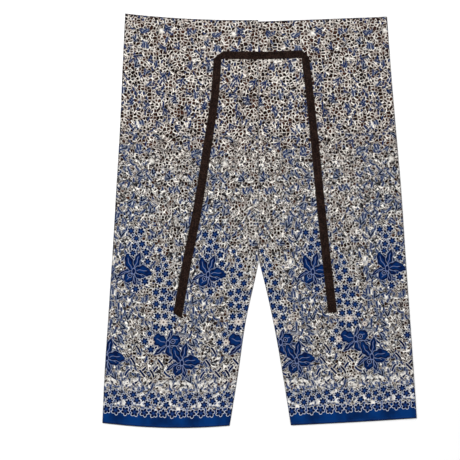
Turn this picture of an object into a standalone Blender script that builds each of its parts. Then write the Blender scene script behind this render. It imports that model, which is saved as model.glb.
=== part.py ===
# Thai fisherman pants of printed cotton, laid flat with the back uppermost.
#
# Each leg is one piece of cloth: the front layer lies on the surface, the cloth turns over in a
# soft roll along the outer side, and the back layer lies on the front one. The two legs meet at
# the centre seam, which runs from the waist to the crotch. A folded strip, the tie, is sewn across
# the back below the waist, and its two free ends hang down over the legs.
#
# The frame: X across, Y from the hems up to the waist, Z up from the surface that carries the
# cloth. The origin is on that surface, in the middle of the outline. A "drop" is a distance
# below the waist, measured down the centre seam.

from math import cos, pi, radians, sin
from typing import NamedTuple

import bpy
import numpy as np

# Driving sizes, in metres
CLOTH = 0.0012
SEAM_GAP = 0.0003
FOLD_RADIUS = 0.0017
ROLL_FADE = 0.035
RIPPLE_FADE = 0.060
RISE = 0.571
LENGTH = 0.9425
WAIST_Y = 0.4649
TIE_CLOTH = 0.0015
TIE_TURN_STEP = 0.0012

# How finely the sheets are divided
ROWS_ABOVE_CROTCH = 17
ROWS_BELOW_CROTCH = 11
STEPS_FRONT = 8
STEPS_ROLL = 5
STEPS_BACK = 15
BACK_SPACING = 1.35
SLOPE_STEP = 0.007
TIE_RUN_ROWS = 22
TIE_TOP_ROWS = 9
TIE_ACROSS = 3


class Section(NamedTuple):
    """One level of a leg: how far the seam edge and the side fold stand from the centre line."""

    drop: float
    inner: float
    outer: float


class EdgeLine(NamedTuple):
    """The line of a waist or hem edge: its lift at the seam and the side, and its sag between."""

    at_seam: float
    at_side: float
    sag: float


class Leg(NamedTuple):
    """One leg: its side of the centre line (-1 or 1), its levels and its two cut edges."""

    name: str
    side: int
    sections: tuple
    waist: EdgeLine
    hem: EdgeLine


class Ripple(NamedTuple):
    """A broad low fold: its middle, half its length and width, its height and its turn."""

    x: float
    y: float
    half_length: float
    half_width: float
    height: float
    turn_deg: float


class TieCorner(NamedTuple):
    """A folded corner of the tie: its inner point, and how far its top outer point leans over."""

    x: float
    drop: float
    lean: float


class TiePoint(NamedTuple):
    """A point on the middle line of a free end of the tie, and the strip's width there."""

    x: float
    drop: float
    width: float


LEFT_LEG = Leg(
    name="leg_left",
    side=-1,
    sections=(
        Section(drop=0.000, inner=0.0000, outer=0.3190),
        Section(drop=0.130, inner=0.0000, outer=0.3220),
        Section(drop=0.275, inner=0.0000, outer=0.3255),
        Section(drop=0.415, inner=0.0000, outer=0.3320),
        Section(drop=0.571, inner=0.0000, outer=0.3390),
        Section(drop=0.625, inner=0.0120, outer=0.3420),
        Section(drop=0.695, inner=0.0280, outer=0.3455),
        Section(drop=0.830, inner=0.0490, outer=0.3525),
        Section(drop=0.943, inner=0.0675, outer=0.3560),
    ),
    waist=EdgeLine(at_seam=0.0010, at_side=0.0180, sag=0.0055),
    hem=EdgeLine(at_seam=0.0000, at_side=0.0060, sag=0.0080),
)
RIGHT_LEG = Leg(
    name="leg_right",
    side=1,
    sections=(
        Section(drop=0.000, inner=0.0000, outer=0.3090),
        Section(drop=0.130, inner=0.0000, outer=0.3145),
        Section(drop=0.275, inner=0.0000, outer=0.3225),
        Section(drop=0.415, inner=0.0000, outer=0.3315),
        Section(drop=0.571, inner=0.0000, outer=0.3385),
        Section(drop=0.625, inner=0.0135, outer=0.3410),
        Section(drop=0.695, inner=0.0290, outer=0.3445),
        Section(drop=0.830, inner=0.0530, outer=0.3510),
        Section(drop=0.943, inner=0.0705, outer=0.3560),
    ),
    waist=EdgeLine(at_seam=-0.0010, at_side=0.0142, sag=0.0008),
    hem=EdgeLine(at_seam=0.0005, at_side=0.0165, sag=0.0010),
)
RIPPLES = (
    Ripple(x=-0.205, y=0.265, half_length=0.160, half_width=0.055, height=0.0013, turn_deg=8),
    Ripple(x=-0.115, y=0.020, half_length=0.120, half_width=0.050, height=0.0011, turn_deg=-18),
    Ripple(x=-0.235, y=-0.210, half_length=0.150, half_width=0.055, height=0.0015, turn_deg=4),
    Ripple(x=-0.130, y=-0.370, half_length=0.080, half_width=0.045, height=0.0011, turn_deg=14),
    Ripple(x=0.000, y=-0.010, half_length=0.090, half_width=0.055, height=0.0013, turn_deg=0),
    Ripple(x=0.185, y=0.240, half_length=0.140, half_width=0.055, height=0.0014, turn_deg=-6),
    Ripple(x=0.225, y=-0.030, half_length=0.150, half_width=0.055, height=0.0012, turn_deg=10),
    Ripple(x=0.135, y=-0.250, half_length=0.110, half_width=0.048, height=0.0013, turn_deg=-12),
    Ripple(x=0.260, y=-0.375, half_length=0.080, half_width=0.048, height=0.0010, turn_deg=6),
)

# The tie: the middle lines of its free ends from the top run down, and its two folded corners
TIE_TOP_WIDTH = 0.0185
TIE_LEFT_CORNER = TieCorner(x=-0.0876, drop=0.0915, lean=0.0040)
TIE_RIGHT_CORNER = TieCorner(x=0.1021, drop=0.0891, lean=0.0007)
TIE_TOP_DIP = 0.0022
TIE_LEFT_RUN = (
    TiePoint(x=-0.0966, drop=0.0930, width=0.0185),
    TiePoint(x=-0.1014, drop=0.1670, width=0.0185),
    TiePoint(x=-0.1217, drop=0.3105, width=0.0190),
    TiePoint(x=-0.1436, drop=0.4518, width=0.0195),
    TiePoint(x=-0.1697, drop=0.5911, width=0.0200),
    TiePoint(x=-0.1873, drop=0.6960, width=0.0205),
)
TIE_RIGHT_RUN = (
    TiePoint(x=0.1112, drop=0.0900, width=0.0185),
    TiePoint(x=0.1196, drop=0.1670, width=0.0185),
    TiePoint(x=0.1329, drop=0.3105, width=0.0190),
    TiePoint(x=0.1449, drop=0.4518, width=0.0195),
    TiePoint(x=0.1581, drop=0.5911, width=0.0200),
    TiePoint(x=0.1681, drop=0.6885, width=0.0205),
)
TIE_LEFT_SLANT = 0.0035
TIE_RIGHT_SLANT = 0.0005

PRINT_COLOUR = (0.230, 0.222, 0.240, 1.0)
TIE_COLOUR = (0.022, 0.011, 0.008, 1.0)
COTTON_ROUGHNESS = 0.85


def blend(share):
    """Ease from 0 to 1 with a level start and end."""
    share = np.clip(share, 0.0, 1.0)
    return share * share * (3.0 - 2.0 * share)


def through(knots, values, at):
    """A smooth curve through the values at the knots, read at one place."""
    knots = np.array(knots)
    values = np.array(values)
    slopes = np.gradient(values, knots)
    last = len(knots) - 2
    i = int(np.clip(np.searchsorted(knots, at) - 1, 0, last))
    span = knots[i + 1] - knots[i]
    t = (at - knots[i]) / span
    start = values[i] * (1 + 2 * t) * (1 - t) ** 2 + slopes[i] * span * t * (1 - t) ** 2
    end = values[i + 1] * (3 - 2 * t) * t**2 - slopes[i + 1] * span * (1 - t) * t**2
    return float(start + end)


def leg_width(leg, drop):
    """The distances of the seam edge and the side fold from the centre line at one level."""
    outer = through([s.drop for s in leg.sections], [s.outer for s in leg.sections], drop)
    if drop <= RISE:
        return SEAM_GAP / 2, outer
    below = [s for s in leg.sections if s.drop >= RISE]
    inner = through([s.drop for s in below], [s.inner for s in below], drop)
    return inner + SEAM_GAP / 2, outer


def edge_lift(line, across):
    """How far a cut edge stands above its level at a share of the way from seam to side."""
    straight = line.at_seam + (line.at_side - line.at_seam) * across
    return straight - line.sag * 4 * across * (1 - across)


def level_y(leg, drop, across):
    """The Y of a point of the leg, so that its levels follow the waist line and the hem line."""
    share = drop / LENGTH
    lift = edge_lift(leg.waist, across) * (1 - share) + edge_lift(leg.hem, across) * share
    return WAIST_Y - drop + lift


def ripple_height(x, y):
    """The height that the broad low folds add to the back layer at one place."""
    height = 0.0
    for fold in RIPPLES:
        turn = radians(fold.turn_deg)
        along = (y - fold.y) * cos(turn) - (x - fold.x) * sin(turn)
        aside = (x - fold.x) * cos(turn) + (y - fold.y) * sin(turn)
        reach = (along / fold.half_length) ** 2 + (aside / fold.half_width) ** 2
        height += fold.height * np.exp(-reach)
    return float(height)


def back_height(x, y, from_fold):
    """The Z of the back layer's outer face at one place, at a distance from the side fold."""
    flat = 2 * CLOTH + SEAM_GAP
    roll = (2 * FOLD_RADIUS - flat) * (1 - blend(from_fold / ROLL_FADE))
    return flat + float(roll) + ripple_height(x, y) * float(blend(from_fold / RIPPLE_FADE))


def leg_section(leg, drop):
    """The outer face of one level of a leg, from the front seam edge round to the back one."""
    inner, outer = leg_width(leg, drop)
    turn = outer - FOLD_RADIUS
    points = []
    for i in range(STEPS_FRONT):
        x = inner + (turn - inner) * i / STEPS_FRONT
        points.append((x, 0.0))
    for i in range(STEPS_ROLL + 1):
        angle = -pi / 2 + pi * i / STEPS_ROLL
        points.append((turn + FOLD_RADIUS * cos(angle), FOLD_RADIUS * (1 + sin(angle))))
    for i in range(1, STEPS_BACK + 1):
        x = turn + (inner - turn) * (i / STEPS_BACK) ** BACK_SPACING
        points.append((x, None))
    section = []
    for x, z in points:
        y = level_y(leg, drop, (x - inner) / (outer - inner))
        if z is None:
            z = back_height(leg.side * x, y, turn - x)
        section.append((leg.side * x, y, z))
    return section


def leg_levels():
    """The levels of a leg, with one exactly at the crotch."""
    above = np.linspace(0.0, RISE, ROWS_ABOVE_CROTCH + 1)
    below = np.linspace(RISE, LENGTH, ROWS_BELOW_CROTCH + 1)
    return list(above) + list(below[1:])


def sheet_mesh(name, rows, face_down):
    """An open sheet of quads through rows of equally many points."""
    across = len(rows[0])
    verts = [point for row in rows for point in row]
    faces = []
    for i in range(len(rows) - 1):
        for j in range(across - 1):
            a = i * across + j
            quad = (a, a + 1, a + across + 1, a + across)
            faces.append(tuple(reversed(quad)) if face_down else quad)
    mesh = bpy.data.meshes.new(name)
    mesh.from_pydata(verts, [], faces)
    mesh.validate()
    mesh.shade_smooth()
    return mesh


def cotton(name, colour):
    """A plain cotton material of one colour."""
    material = bpy.data.materials.new(name)
    material.use_nodes = True
    shader = material.node_tree.nodes["Principled BSDF"]
    shader.inputs["Base Color"].default_value = colour
    shader.inputs["Roughness"].default_value = COTTON_ROUGHNESS
    shader.inputs["Metallic"].default_value = 0.0
    return material


def thick_sheet(name, mesh, thickness, outward, material, collection):
    """An object whose sheet is given its thickness, to the outside or the inside of its face."""
    piece = bpy.data.objects.new(name, mesh)
    collection.objects.link(piece)
    mesh.materials.append(material)
    wall = piece.modifiers.new("wall", "SOLIDIFY")
    wall.thickness = thickness
    wall.offset = 1.0 if outward else -1.0
    wall.use_even_offset = True
    wall.use_rim = True
    return piece


def build_leg(leg, material, collection):
    """One leg: the front layer, the roll at the side and the back layer, as one folded sheet."""
    rows = [leg_section(leg, drop) for drop in leg_levels()]
    mesh = sheet_mesh(leg.name, rows, face_down=leg.side < 0)
    return thick_sheet(leg.name, mesh, CLOTH, False, material, collection)


def run_edges(run, side, slant):
    """The pairs of inner and outer edge points of a free end, from the top run to the cut."""
    drops = [point.drop for point in run]
    xs = [point.x for point in run]
    widths = [point.width for point in run]
    pairs = []
    for i in range(1, TIE_RUN_ROWS + 1):
        share = i / TIE_RUN_ROWS
        drop = drops[0] + (drops[-1] - drops[0]) * share
        x = through(drops, xs, drop)
        lean = (x - through(drops, xs, drop - SLOPE_STEP)) / SLOPE_STEP
        down = np.array((lean, 1.0)) / np.hypot(lean, 1.0)
        out = np.array((down[1], -down[0])) * side
        half = through(drops, widths, drop) / 2
        cut = slant if i == TIE_RUN_ROWS else 0.0
        middle = np.array((x, drop))
        pairs.append((middle - out * half + down * cut, middle + out * half - down * cut))
    return pairs


def corner_pairs(corner, run, side):
    """The two edge pairs of a folded corner: both turn about its inner point, and the straight
    line between their outer points is the diagonal fold."""
    lean = (run[1].x - run[0].x) / (run[1].drop - run[0].drop)
    down = np.array((lean, 1.0)) / np.hypot(lean, 1.0)
    out = np.array((down[1], -down[0])) * side
    pivot = np.array((corner.x, corner.drop))
    below = pivot + down * TIE_TURN_STEP
    beside = pivot - np.array((side * TIE_TURN_STEP, 0.0))
    low = (below, below + out * run[0].width)
    high = (beside, pivot + np.array((corner.lean, -TIE_TOP_WIDTH)))
    return low, high


def tie_pairs():
    """All pairs of edge points of the tie, from its left cut end round to its right one."""
    left_low, left_high = corner_pairs(TIE_LEFT_CORNER, TIE_LEFT_RUN, -1)
    right_low, right_high = corner_pairs(TIE_RIGHT_CORNER, TIE_RIGHT_RUN, 1)
    top = []
    for i in range(1, TIE_TOP_ROWS):
        share = i / TIE_TOP_ROWS
        dip = TIE_TOP_DIP * 4 * share * (1 - share)
        lower = left_high[0] * (1 - share) + right_high[0] * share
        upper = left_high[1] * (1 - share) + right_high[1] * share
        top.append((lower + np.array((0.0, dip)), upper + np.array((0.0, dip))))
    left = run_edges(TIE_LEFT_RUN, -1, TIE_LEFT_SLANT)[::-1]
    right = run_edges(TIE_RIGHT_RUN, 1, TIE_RIGHT_SLANT)
    return left + [left_low, left_high] + top + [right_high, right_low] + right


def build_tie(material, collection):
    """The tie: a strip on the back layer, made from that layer's points, moved out."""
    rows = []
    for inner, outer in tie_pairs():
        row = []
        for i in range(TIE_ACROSS):
            x, drop = inner + (outer - inner) * i / (TIE_ACROSS - 1)
            y = WAIST_Y - drop
            row.append((x, y, back_height(x, y, RIPPLE_FADE) + SEAM_GAP))
        rows.append(row)
    mesh = sheet_mesh("tie", rows, face_down=True)
    return thick_sheet("tie", mesh, TIE_CLOTH, True, material, collection)


def clear_scene():
    """Remove the objects that the scene starts with."""
    for old in list(bpy.data.objects):
        bpy.data.objects.remove(old, do_unlink=True)


def main():
    """Build the two legs and the tie in one collection."""
    clear_scene()
    collection = bpy.data.collections.new("thai_fisherman_pants")
    bpy.context.scene.collection.children.link(collection)
    printed = cotton("printed_cotton", PRINT_COLOUR)
    plain = cotton("tie_cotton", TIE_COLOUR)
    build_leg(LEFT_LEG, printed, collection)
    build_leg(RIGHT_LEG, printed, collection)
    build_tie(plain, collection)


main()
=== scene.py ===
"""Dress the frame of a pair of Thai fisherman pants, laid flat with the back uppermost.

Each leg is one sheet of printed cotton: the front layer on the floor, a soft roll along the outer
side, and the back layer on top. The legs meet at the centre seam. A folded strip of plain cotton,
the tie, runs across the back below the waist, turns down at two mitred corners and ends in two
free ends. Lengths are in metres, and the print is laid out in millimetres.
"""

import logging
from collections.abc import Callable, Sequence
from dataclasses import dataclass, field
from enum import Enum
from functools import partial
from math import cos, pi, radians, sin, tau

import bpy
import numpy as np
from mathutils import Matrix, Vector


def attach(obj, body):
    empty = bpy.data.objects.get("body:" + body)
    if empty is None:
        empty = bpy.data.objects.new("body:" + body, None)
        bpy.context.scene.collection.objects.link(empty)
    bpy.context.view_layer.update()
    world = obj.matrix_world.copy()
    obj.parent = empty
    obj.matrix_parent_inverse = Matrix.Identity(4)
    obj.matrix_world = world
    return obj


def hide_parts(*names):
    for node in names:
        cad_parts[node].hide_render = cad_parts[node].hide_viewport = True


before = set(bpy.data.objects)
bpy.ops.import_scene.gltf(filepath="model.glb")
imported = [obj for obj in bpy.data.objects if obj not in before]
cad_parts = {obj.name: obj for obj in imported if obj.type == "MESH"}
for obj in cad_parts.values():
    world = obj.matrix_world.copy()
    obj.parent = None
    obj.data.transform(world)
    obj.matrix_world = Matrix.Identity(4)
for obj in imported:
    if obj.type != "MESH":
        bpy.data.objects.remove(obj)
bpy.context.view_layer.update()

log = logging.getLogger("fisherman_pants")

BODY = "root"
PRINT_MAP = "cloth"
BAKE_MAP = "OFBake"
REVERSE = "reverse"
NEAR_EDGE = "near_edge"
MM = 1000.0

Colour = tuple[float, float, float, float]


class Side(Enum):
    """A leg's side of the centre line, as the garment lies."""

    LEFT = -1
    RIGHT = 1


class Motif(Enum):
    """The large motifs of the print that have a place of their own in the repeat."""

    SIDE_ORCHID = "side_orchids"
    ORCHID = "orchids"
    ROSETTE = "rosettes"
    EDGE_STAR = "edge_stars"
    STAR = "stars"


def blend(share: np.ndarray | float) -> np.ndarray:
    """Ease from 0 to 1 with a level start and end."""
    share = np.clip(share, 0.0, 1.0)
    return share * share * (3.0 - 2.0 * share)


def through(knots: Sequence[float], values: Sequence[float], at: np.ndarray) -> np.ndarray:
    """Read a smooth curve through a few values.

    Args:
        knots: the places of the values, in rising order.
        values: the values there.
        at: the places to read.

    Returns:
        The curve's values at those places.
    """
    knots = np.array(knots)
    values = np.array(values)
    slopes = np.gradient(values, knots)
    i = np.clip(np.searchsorted(knots, at) - 1, 0, len(knots) - 2)
    span = knots[i + 1] - knots[i]
    t = (at - knots[i]) / span
    start = values[i] * (1 + 2 * t) * (1 - t) ** 2 + slopes[i] * span * t * (1 - t) ** 2
    end = values[i + 1] * (3 - 2 * t) * t**2 - slopes[i + 1] * span * (1 - t) * t**2
    return start + end


def unit(vectors: np.ndarray) -> np.ndarray:
    """Scale each vector of an array to length 1."""
    return vectors / np.maximum(np.linalg.norm(vectors, axis=-1, keepdims=True), 1e-12)


def run_length(path: np.ndarray) -> np.ndarray:
    """Give the length along a path up to each of its points."""
    return np.concatenate(([0.0], np.cumsum(np.linalg.norm(np.diff(path, axis=0), axis=1))))


def grid_normals(points: np.ndarray) -> np.ndarray:
    """Give the unit normals of a grid of points, from its neighbours along and across.

    Args:
        points: the points, in rows and columns.

    Returns:
        The normals, of length 1.
    """
    along = np.gradient(points, axis=0)
    across = np.gradient(points, axis=1)
    return unit(np.cross(across, along))


@dataclass(frozen=True)
class Section:
    """One level of a leg: how far the seam edge and the side fold stand from the centre line."""

    drop: float
    inner: float
    outer: float


@dataclass(frozen=True)
class EdgeLine:
    """The line of a waist or hem edge: its lift at the seam and the side, and its sag between."""

    at_seam: float
    at_side: float
    sag: float

    def lift(self, across: np.ndarray) -> np.ndarray:
        """Give the edge's height above its level at a share of the way from seam to side."""
        straight = self.at_seam + (self.at_side - self.at_seam) * across
        return straight - self.sag * 4 * across * (1 - across)


@dataclass(frozen=True)
class Fold:
    """A soft ridge or trough in the back layer: its middle, half size, height and turn."""

    x: float
    y: float
    half_length: float
    half_width: float
    height: float
    turn_deg: float

    def at(self, x: np.ndarray, y: np.ndarray) -> np.ndarray:
        """Give the height that this fold adds at some places.

        Args:
            x: the places across the garment.
            y: the places along it.

        Returns:
            The heights there.
        """
        turn = radians(self.turn_deg)
        along = (y - self.y) * cos(turn) - (x - self.x) * sin(turn)
        aside = (x - self.x) * cos(turn) + (y - self.y) * sin(turn)
        return self.height * np.exp(-((along / self.half_length) ** 2 + (aside / self.half_width) ** 2))


RIPPLES = (
    Fold(-0.205, 0.265, 0.160, 0.055, 0.0013, 8),
    Fold(-0.115, 0.020, 0.120, 0.050, 0.0011, -18),
    Fold(-0.235, -0.210, 0.150, 0.055, 0.0015, 4),
    Fold(-0.130, -0.370, 0.080, 0.045, 0.0011, 14),
    Fold(0.000, -0.010, 0.090, 0.055, 0.0013, 0),
    Fold(0.185, 0.240, 0.140, 0.055, 0.0014, -6),
    Fold(0.225, -0.030, 0.150, 0.055, 0.0012, 10),
    Fold(0.135, -0.250, 0.110, 0.048, 0.0013, -12),
    Fold(0.260, -0.375, 0.080, 0.048, 0.0010, 6),
)
CREASES = (
    Fold(-0.262, 0.330, 0.070, 0.0060, 0.00035, 24),
    Fold(-0.175, 0.395, 0.045, 0.0050, -0.00030, -38),
    Fold(-0.290, 0.110, 0.110, 0.0070, 0.00040, -6),
    Fold(-0.060, 0.180, 0.060, 0.0055, -0.00030, 30),
    Fold(-0.215, -0.060, 0.085, 0.0065, 0.00035, 15),
    Fold(-0.085, -0.115, 0.050, 0.0050, -0.00028, -42),
    Fold(-0.300, -0.290, 0.075, 0.0060, -0.00035, 8),
    Fold(-0.150, -0.300, 0.055, 0.0060, 0.00032, -22),
    Fold(0.255, 0.350, 0.060, 0.0060, 0.00035, -28),
    Fold(0.040, 0.215, 0.055, 0.0055, -0.00028, -24),
    Fold(0.290, 0.150, 0.100, 0.0070, -0.00038, 5),
    Fold(0.200, 0.070, 0.070, 0.0060, 0.00035, -16),
    Fold(0.075, -0.090, 0.050, 0.0050, -0.00028, 40),
    Fold(0.295, -0.180, 0.085, 0.0065, 0.00036, -9),
    Fold(0.180, -0.330, 0.060, 0.0060, -0.00032, 20),
    Fold(0.0055, 0.408, 0.014, 0.0024, 0.00050, 0),
)


@dataclass(frozen=True)
class ClothForm:
    """The sizes that the layers of the folded cloth share, with the height of the top layer."""

    layer: float = 0.0012
    seam_gap: float = 0.0003
    fold_radius: float = 0.0017
    roll_fade: float = 0.035
    ripple_fade: float = 0.060
    rise: float = 0.571
    length: float = 0.9425
    waist_y: float = 0.4649

    def back_height(self, x: np.ndarray, y: np.ndarray, from_fold: np.ndarray) -> np.ndarray:
        """Find the height of the back layer's outer face.

        Args:
            x: the places across the garment.
            y: the places along it.
            from_fold: how far they are from the side fold.

        Returns:
            The heights above the floor.
        """
        flat = 2 * self.layer + self.seam_gap
        roll = (2 * self.fold_radius - flat) * (1 - blend(from_fold / self.roll_fade))
        ripples = sum(fold.at(x, y) for fold in RIPPLES)
        return flat + roll + ripples * blend(from_fold / self.ripple_fade)


FORM = ClothForm()


def math_method(operation: str, flipped: bool = False) -> Callable[..., "Signal"]:
    """Make a method of a signal that adds one math node.

    Args:
        operation: Blender's name of the operation.
        flipped: whether the other number comes before the signal.

    Returns:
        The method.
    """

    def method(signal: "Signal", *others: "Signal | float") -> "Signal":
        """Add the math node."""
        values = (*others, signal) if flipped else (signal, *others)
        return signal.bench.math(operation, *values)

    return method


class Signal:
    """A number that flows through shader nodes, so that a sum of nodes is written as a sum."""

    __add__ = math_method("ADD")
    __radd__ = math_method("ADD", flipped=True)
    __sub__ = math_method("SUBTRACT")
    __rsub__ = math_method("SUBTRACT", flipped=True)
    __mul__ = math_method("MULTIPLY")
    __rmul__ = math_method("MULTIPLY", flipped=True)
    __truediv__ = math_method("DIVIDE")
    __pow__ = math_method("POWER")
    __abs__ = math_method("ABSOLUTE")
    floor = math_method("FLOOR")
    sine = math_method("SINE")
    cosine = math_method("COSINE")
    wrap = math_method("FLOORED_MODULO")
    at_least = math_method("MAXIMUM")
    at_most = math_method("MINIMUM")
    below = math_method("LESS_THAN")

    def __init__(self, bench: "NodeBench", socket: bpy.types.NodeSocket) -> None:
        """Keep the node bench and the socket that the number comes from."""
        self.bench = bench
        self.socket = socket

    def ease(self, low: float, high: float) -> "Signal":
        """Go softly from 0 to 1.

        Args:
            low: the value that gives 0.
            high: the value that gives 1, which may be the smaller.

        Returns:
            The eased number.
        """
        inputs = {
            "Value": self,
            "From Min": min(low, high),
            "From Max": max(low, high),
            "To Min": float(low >= high),
            "To Max": float(low < high),
        }
        node = self.bench.add("MapRange", inputs, interpolation_type="SMOOTHSTEP")
        return Signal(self.bench, node.outputs["Result"])


class NodeBench:
    """A material's node tree, with short calls that add and join its nodes."""

    def __init__(self, name: str) -> None:
        """Make a material with a Principled shader and keep both.

        Args:
            name: the material's name.
        """
        self.material = bpy.data.materials.new(name)
        self.material.use_nodes = True
        self.tree = self.material.node_tree
        self.shader = self.tree.nodes["Principled BSDF"]

    def add(self, kind: str, inputs: dict | None = None, **settings: object) -> bpy.types.Node:
        """Add one node.

        Args:
            kind: the node's type, without the words that every shader node's type starts with.
            inputs: what goes into its sockets, by name or number.
            settings: its other choices.

        Returns:
            The node.
        """
        node = self.tree.nodes.new("ShaderNode" + kind)
        for name, value in settings.items():
            setattr(node, name, value)
        for name, value in (inputs or {}).items():
            self.feed(node.inputs[name], value)
        return node

    def feed(self, socket: bpy.types.NodeSocket, value: object) -> None:
        """Give a socket what it takes.

        Args:
            socket: the socket.
            value: a signal, another socket or a plain value.
        """
        source = value.socket if isinstance(value, Signal) else value
        if isinstance(source, bpy.types.NodeSocket):
            self.tree.links.new(source, socket)
        else:
            socket.default_value = source

    def math(self, operation: str, *values: Signal | float) -> Signal:
        """Add one math node, by Blender's name of its operation, with its values in order."""
        return Signal(self, self.add("Math", dict(enumerate(values)), operation=operation).outputs[0])

    def signals(self, sockets: Sequence[bpy.types.NodeSocket]) -> tuple[Signal, ...]:
        """Take some sockets as numbers."""
        return tuple(Signal(self, socket) for socket in sockets)

    def length(self, x: Signal, y: Signal) -> Signal:
        """Give the length of a flat vector."""
        return (x * x + y * y) ** 0.5

    def angle(self, x: Signal, y: Signal) -> Signal:
        """Give the angle of a flat vector, in radians."""
        return self.math("ARCTAN2", y, x)

    def joined(self, *numbers: Signal | float) -> bpy.types.NodeSocket:
        """Join two or three numbers into a vector."""
        return self.add("CombineXYZ", dict(enumerate(numbers))).outputs[0]

    def parted(self, vector: bpy.types.NodeSocket) -> tuple[Signal, ...]:
        """Part a vector into three numbers."""
        return self.signals(self.add("SeparateXYZ", {0: vector}).outputs)

    def shades(self, colour: bpy.types.NodeSocket) -> tuple[Signal, ...]:
        """Part a colour into three numbers."""
        return self.signals(self.add("SeparateColor", {0: colour}).outputs[:3])

    def turned(self, x: Signal, y: Signal, angle: Signal | float) -> tuple[Signal, Signal]:
        """Turn a flat vector clockwise.

        Args:
            x: its first number.
            y: its second number.
            angle: how far it turns, in radians.

        Returns:
            The turned vector's two numbers.
        """
        if isinstance(angle, Signal):
            along, aside = angle.cosine(), angle.sine()
        else:
            along, aside = cos(angle), sin(angle)
        return x * along + y * aside, y * along - x * aside

    def chance(self, a: Signal, b: Signal, seed: float) -> tuple[Signal, ...]:
        """Draw random numbers.

        Args:
            a: a whole number.
            b: another one.
            seed: what tells this draw from others.

        Returns:
            Four even random numbers from 0 to 1 for each pair of whole numbers.
        """
        inputs = {"Vector": self.joined(a + 0.5, b + 0.5, seed)}
        node = self.add("TexWhiteNoise", inputs, noise_dimensions="3D")
        return (*self.shades(node.outputs["Color"]), Signal(self, node.outputs["Value"]))

    def noise(self, place: object, scale: float, detail: float = 2.0, rough: float = 0.5) -> Signal:
        """Read a cloudy noise about 0.5: its clouds to one unit, its finer layers and their strength."""
        inputs = {"Vector": place, "Scale": scale, "Detail": detail, "Roughness": rough}
        return Signal(self, self.add("TexNoise", inputs).outputs["Fac"])

    def stirred(self, place: object, scale: float, amount: float) -> bpy.types.NodeSocket:
        """Push places about by a soft noise.

        Args:
            place: the places.
            scale: how many clouds of the noise go into one unit.
            amount: how far it pushes.

        Returns:
            The pushed places.
        """
        noise = self.add("TexNoise", {"Vector": place, "Scale": scale, "Detail": 1.0})
        inputs = {0: noise.outputs["Color"], 1: (amount, amount, amount), 2: place}
        return self.add("VectorMath", inputs, operation="MULTIPLY_ADD").outputs[0]

    def cells(self, place: object, scale: float) -> tuple[Signal, ...]:
        """Give the distance from the heart of an uneven cell, in cells, and its three random numbers."""
        node = self.add("TexVoronoi", {"Vector": place, "Scale": scale})
        return (Signal(self, node.outputs["Distance"]), *self.shades(node.outputs["Color"]))

    def flat_cells(self, x: Signal, y: Signal, kind: "Seed", feature: str) -> bpy.types.Node:
        """Part a plane into the uneven cells of a kind of seed, by Blender's name of what is read."""
        inputs = {"Vector": self.joined(x, y), "Scale": 1 / kind.pitch, "Randomness": kind.uneven}
        return self.add("TexVoronoi", inputs, voronoi_dimensions="2D", feature=feature)

    def hearts(self, x: Signal, y: Signal, kind: "Seed") -> tuple[Signal, ...]:
        """Measure from the heart of each cell of a kind of seed.

        Args:
            x: the place along the plane.
            y: the place up it.
            kind: the kind of seed.

        Returns:
            The place beside and above the heart, and three random numbers of the cell.
        """
        node = self.flat_cells(x, y, kind, "F1")
        heart_x, heart_y, _ = self.parted(node.outputs["Position"])
        return (x - heart_x, y - heart_y, *self.shades(node.outputs["Color"]))

    def walls(self, x: Signal, y: Signal, kind: "Seed") -> Signal:
        """Measure how far the nearest wall between the cells of a kind of seed is."""
        node = self.flat_cells(x, y, kind, "DISTANCE_TO_EDGE")
        return Signal(self, node.outputs["Distance"]) * kind.pitch

    def painted(self, under: object, over: object, mask: Signal | float) -> bpy.types.NodeSocket:
        """Lay one colour over another where a mask is 1."""
        return self.add("Mix", {"Factor": mask, 6: under, 7: over}, data_type="RGBA").outputs[2]

    def placed(self, name: str) -> bpy.types.NodeSocket:
        """Read a named vector of the mesh."""
        return self.add("Attribute", attribute_name=name).outputs["Vector"]

    def marked(self, name: str) -> Signal:
        """Read a named number of the mesh."""
        return Signal(self, self.add("Attribute", attribute_name=name).outputs["Fac"])

    def mapped(self, name: str, size: float) -> tuple[Signal, Signal]:
        """Read a named UV map, times a size."""
        u, v, _ = self.parted(self.add("UVMap", uv_map=name).outputs[0])
        return u * size, v * size

    def bumped(
        self, height: Signal, distance: float, strength: float, under: object = (0.0, 0.0, 0.0)
    ) -> bpy.types.NodeSocket:
        """Turn a height, with the metres for a height of 1, into a bump that lies on another one."""
        inputs = {"Strength": strength, "Distance": distance, "Height": height, "Normal": under}
        return self.add("Bump", inputs).outputs[0]


class StepBench(NodeBench):
    """A node group in which one step of a print is painted."""

    def __init__(self, name: str) -> None:
        """Make the group, with the sockets that every step has.

        Args:
            name: the group's name.
        """
        self.tree = bpy.data.node_groups.new(name, "ShaderNodeTree")
        both_ways = (("Colour", "Color"), ("Free", "Float"), ("Last", "Float"))
        inward = (("Print", "Vector"), ("Ring", "Vector"), ("Place", "Vector"))
        for way, titles in (("INPUT", both_ways + inward), ("OUTPUT", both_ways)):
            for title, kind in titles:
                self.tree.interface.new_socket(name=title, in_out=way, socket_type="NodeSocket" + kind)
        self.taken = self.tree.nodes.new("NodeGroupInput").outputs
        self.given = self.tree.nodes.new("NodeGroupOutput").inputs


@dataclass(frozen=True)
class Site:
    """The place of one motif in the repeat, in mm: along it, above the hem, its radius and turn."""

    along: float
    above: float
    radius: float
    turn_deg: float


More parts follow.
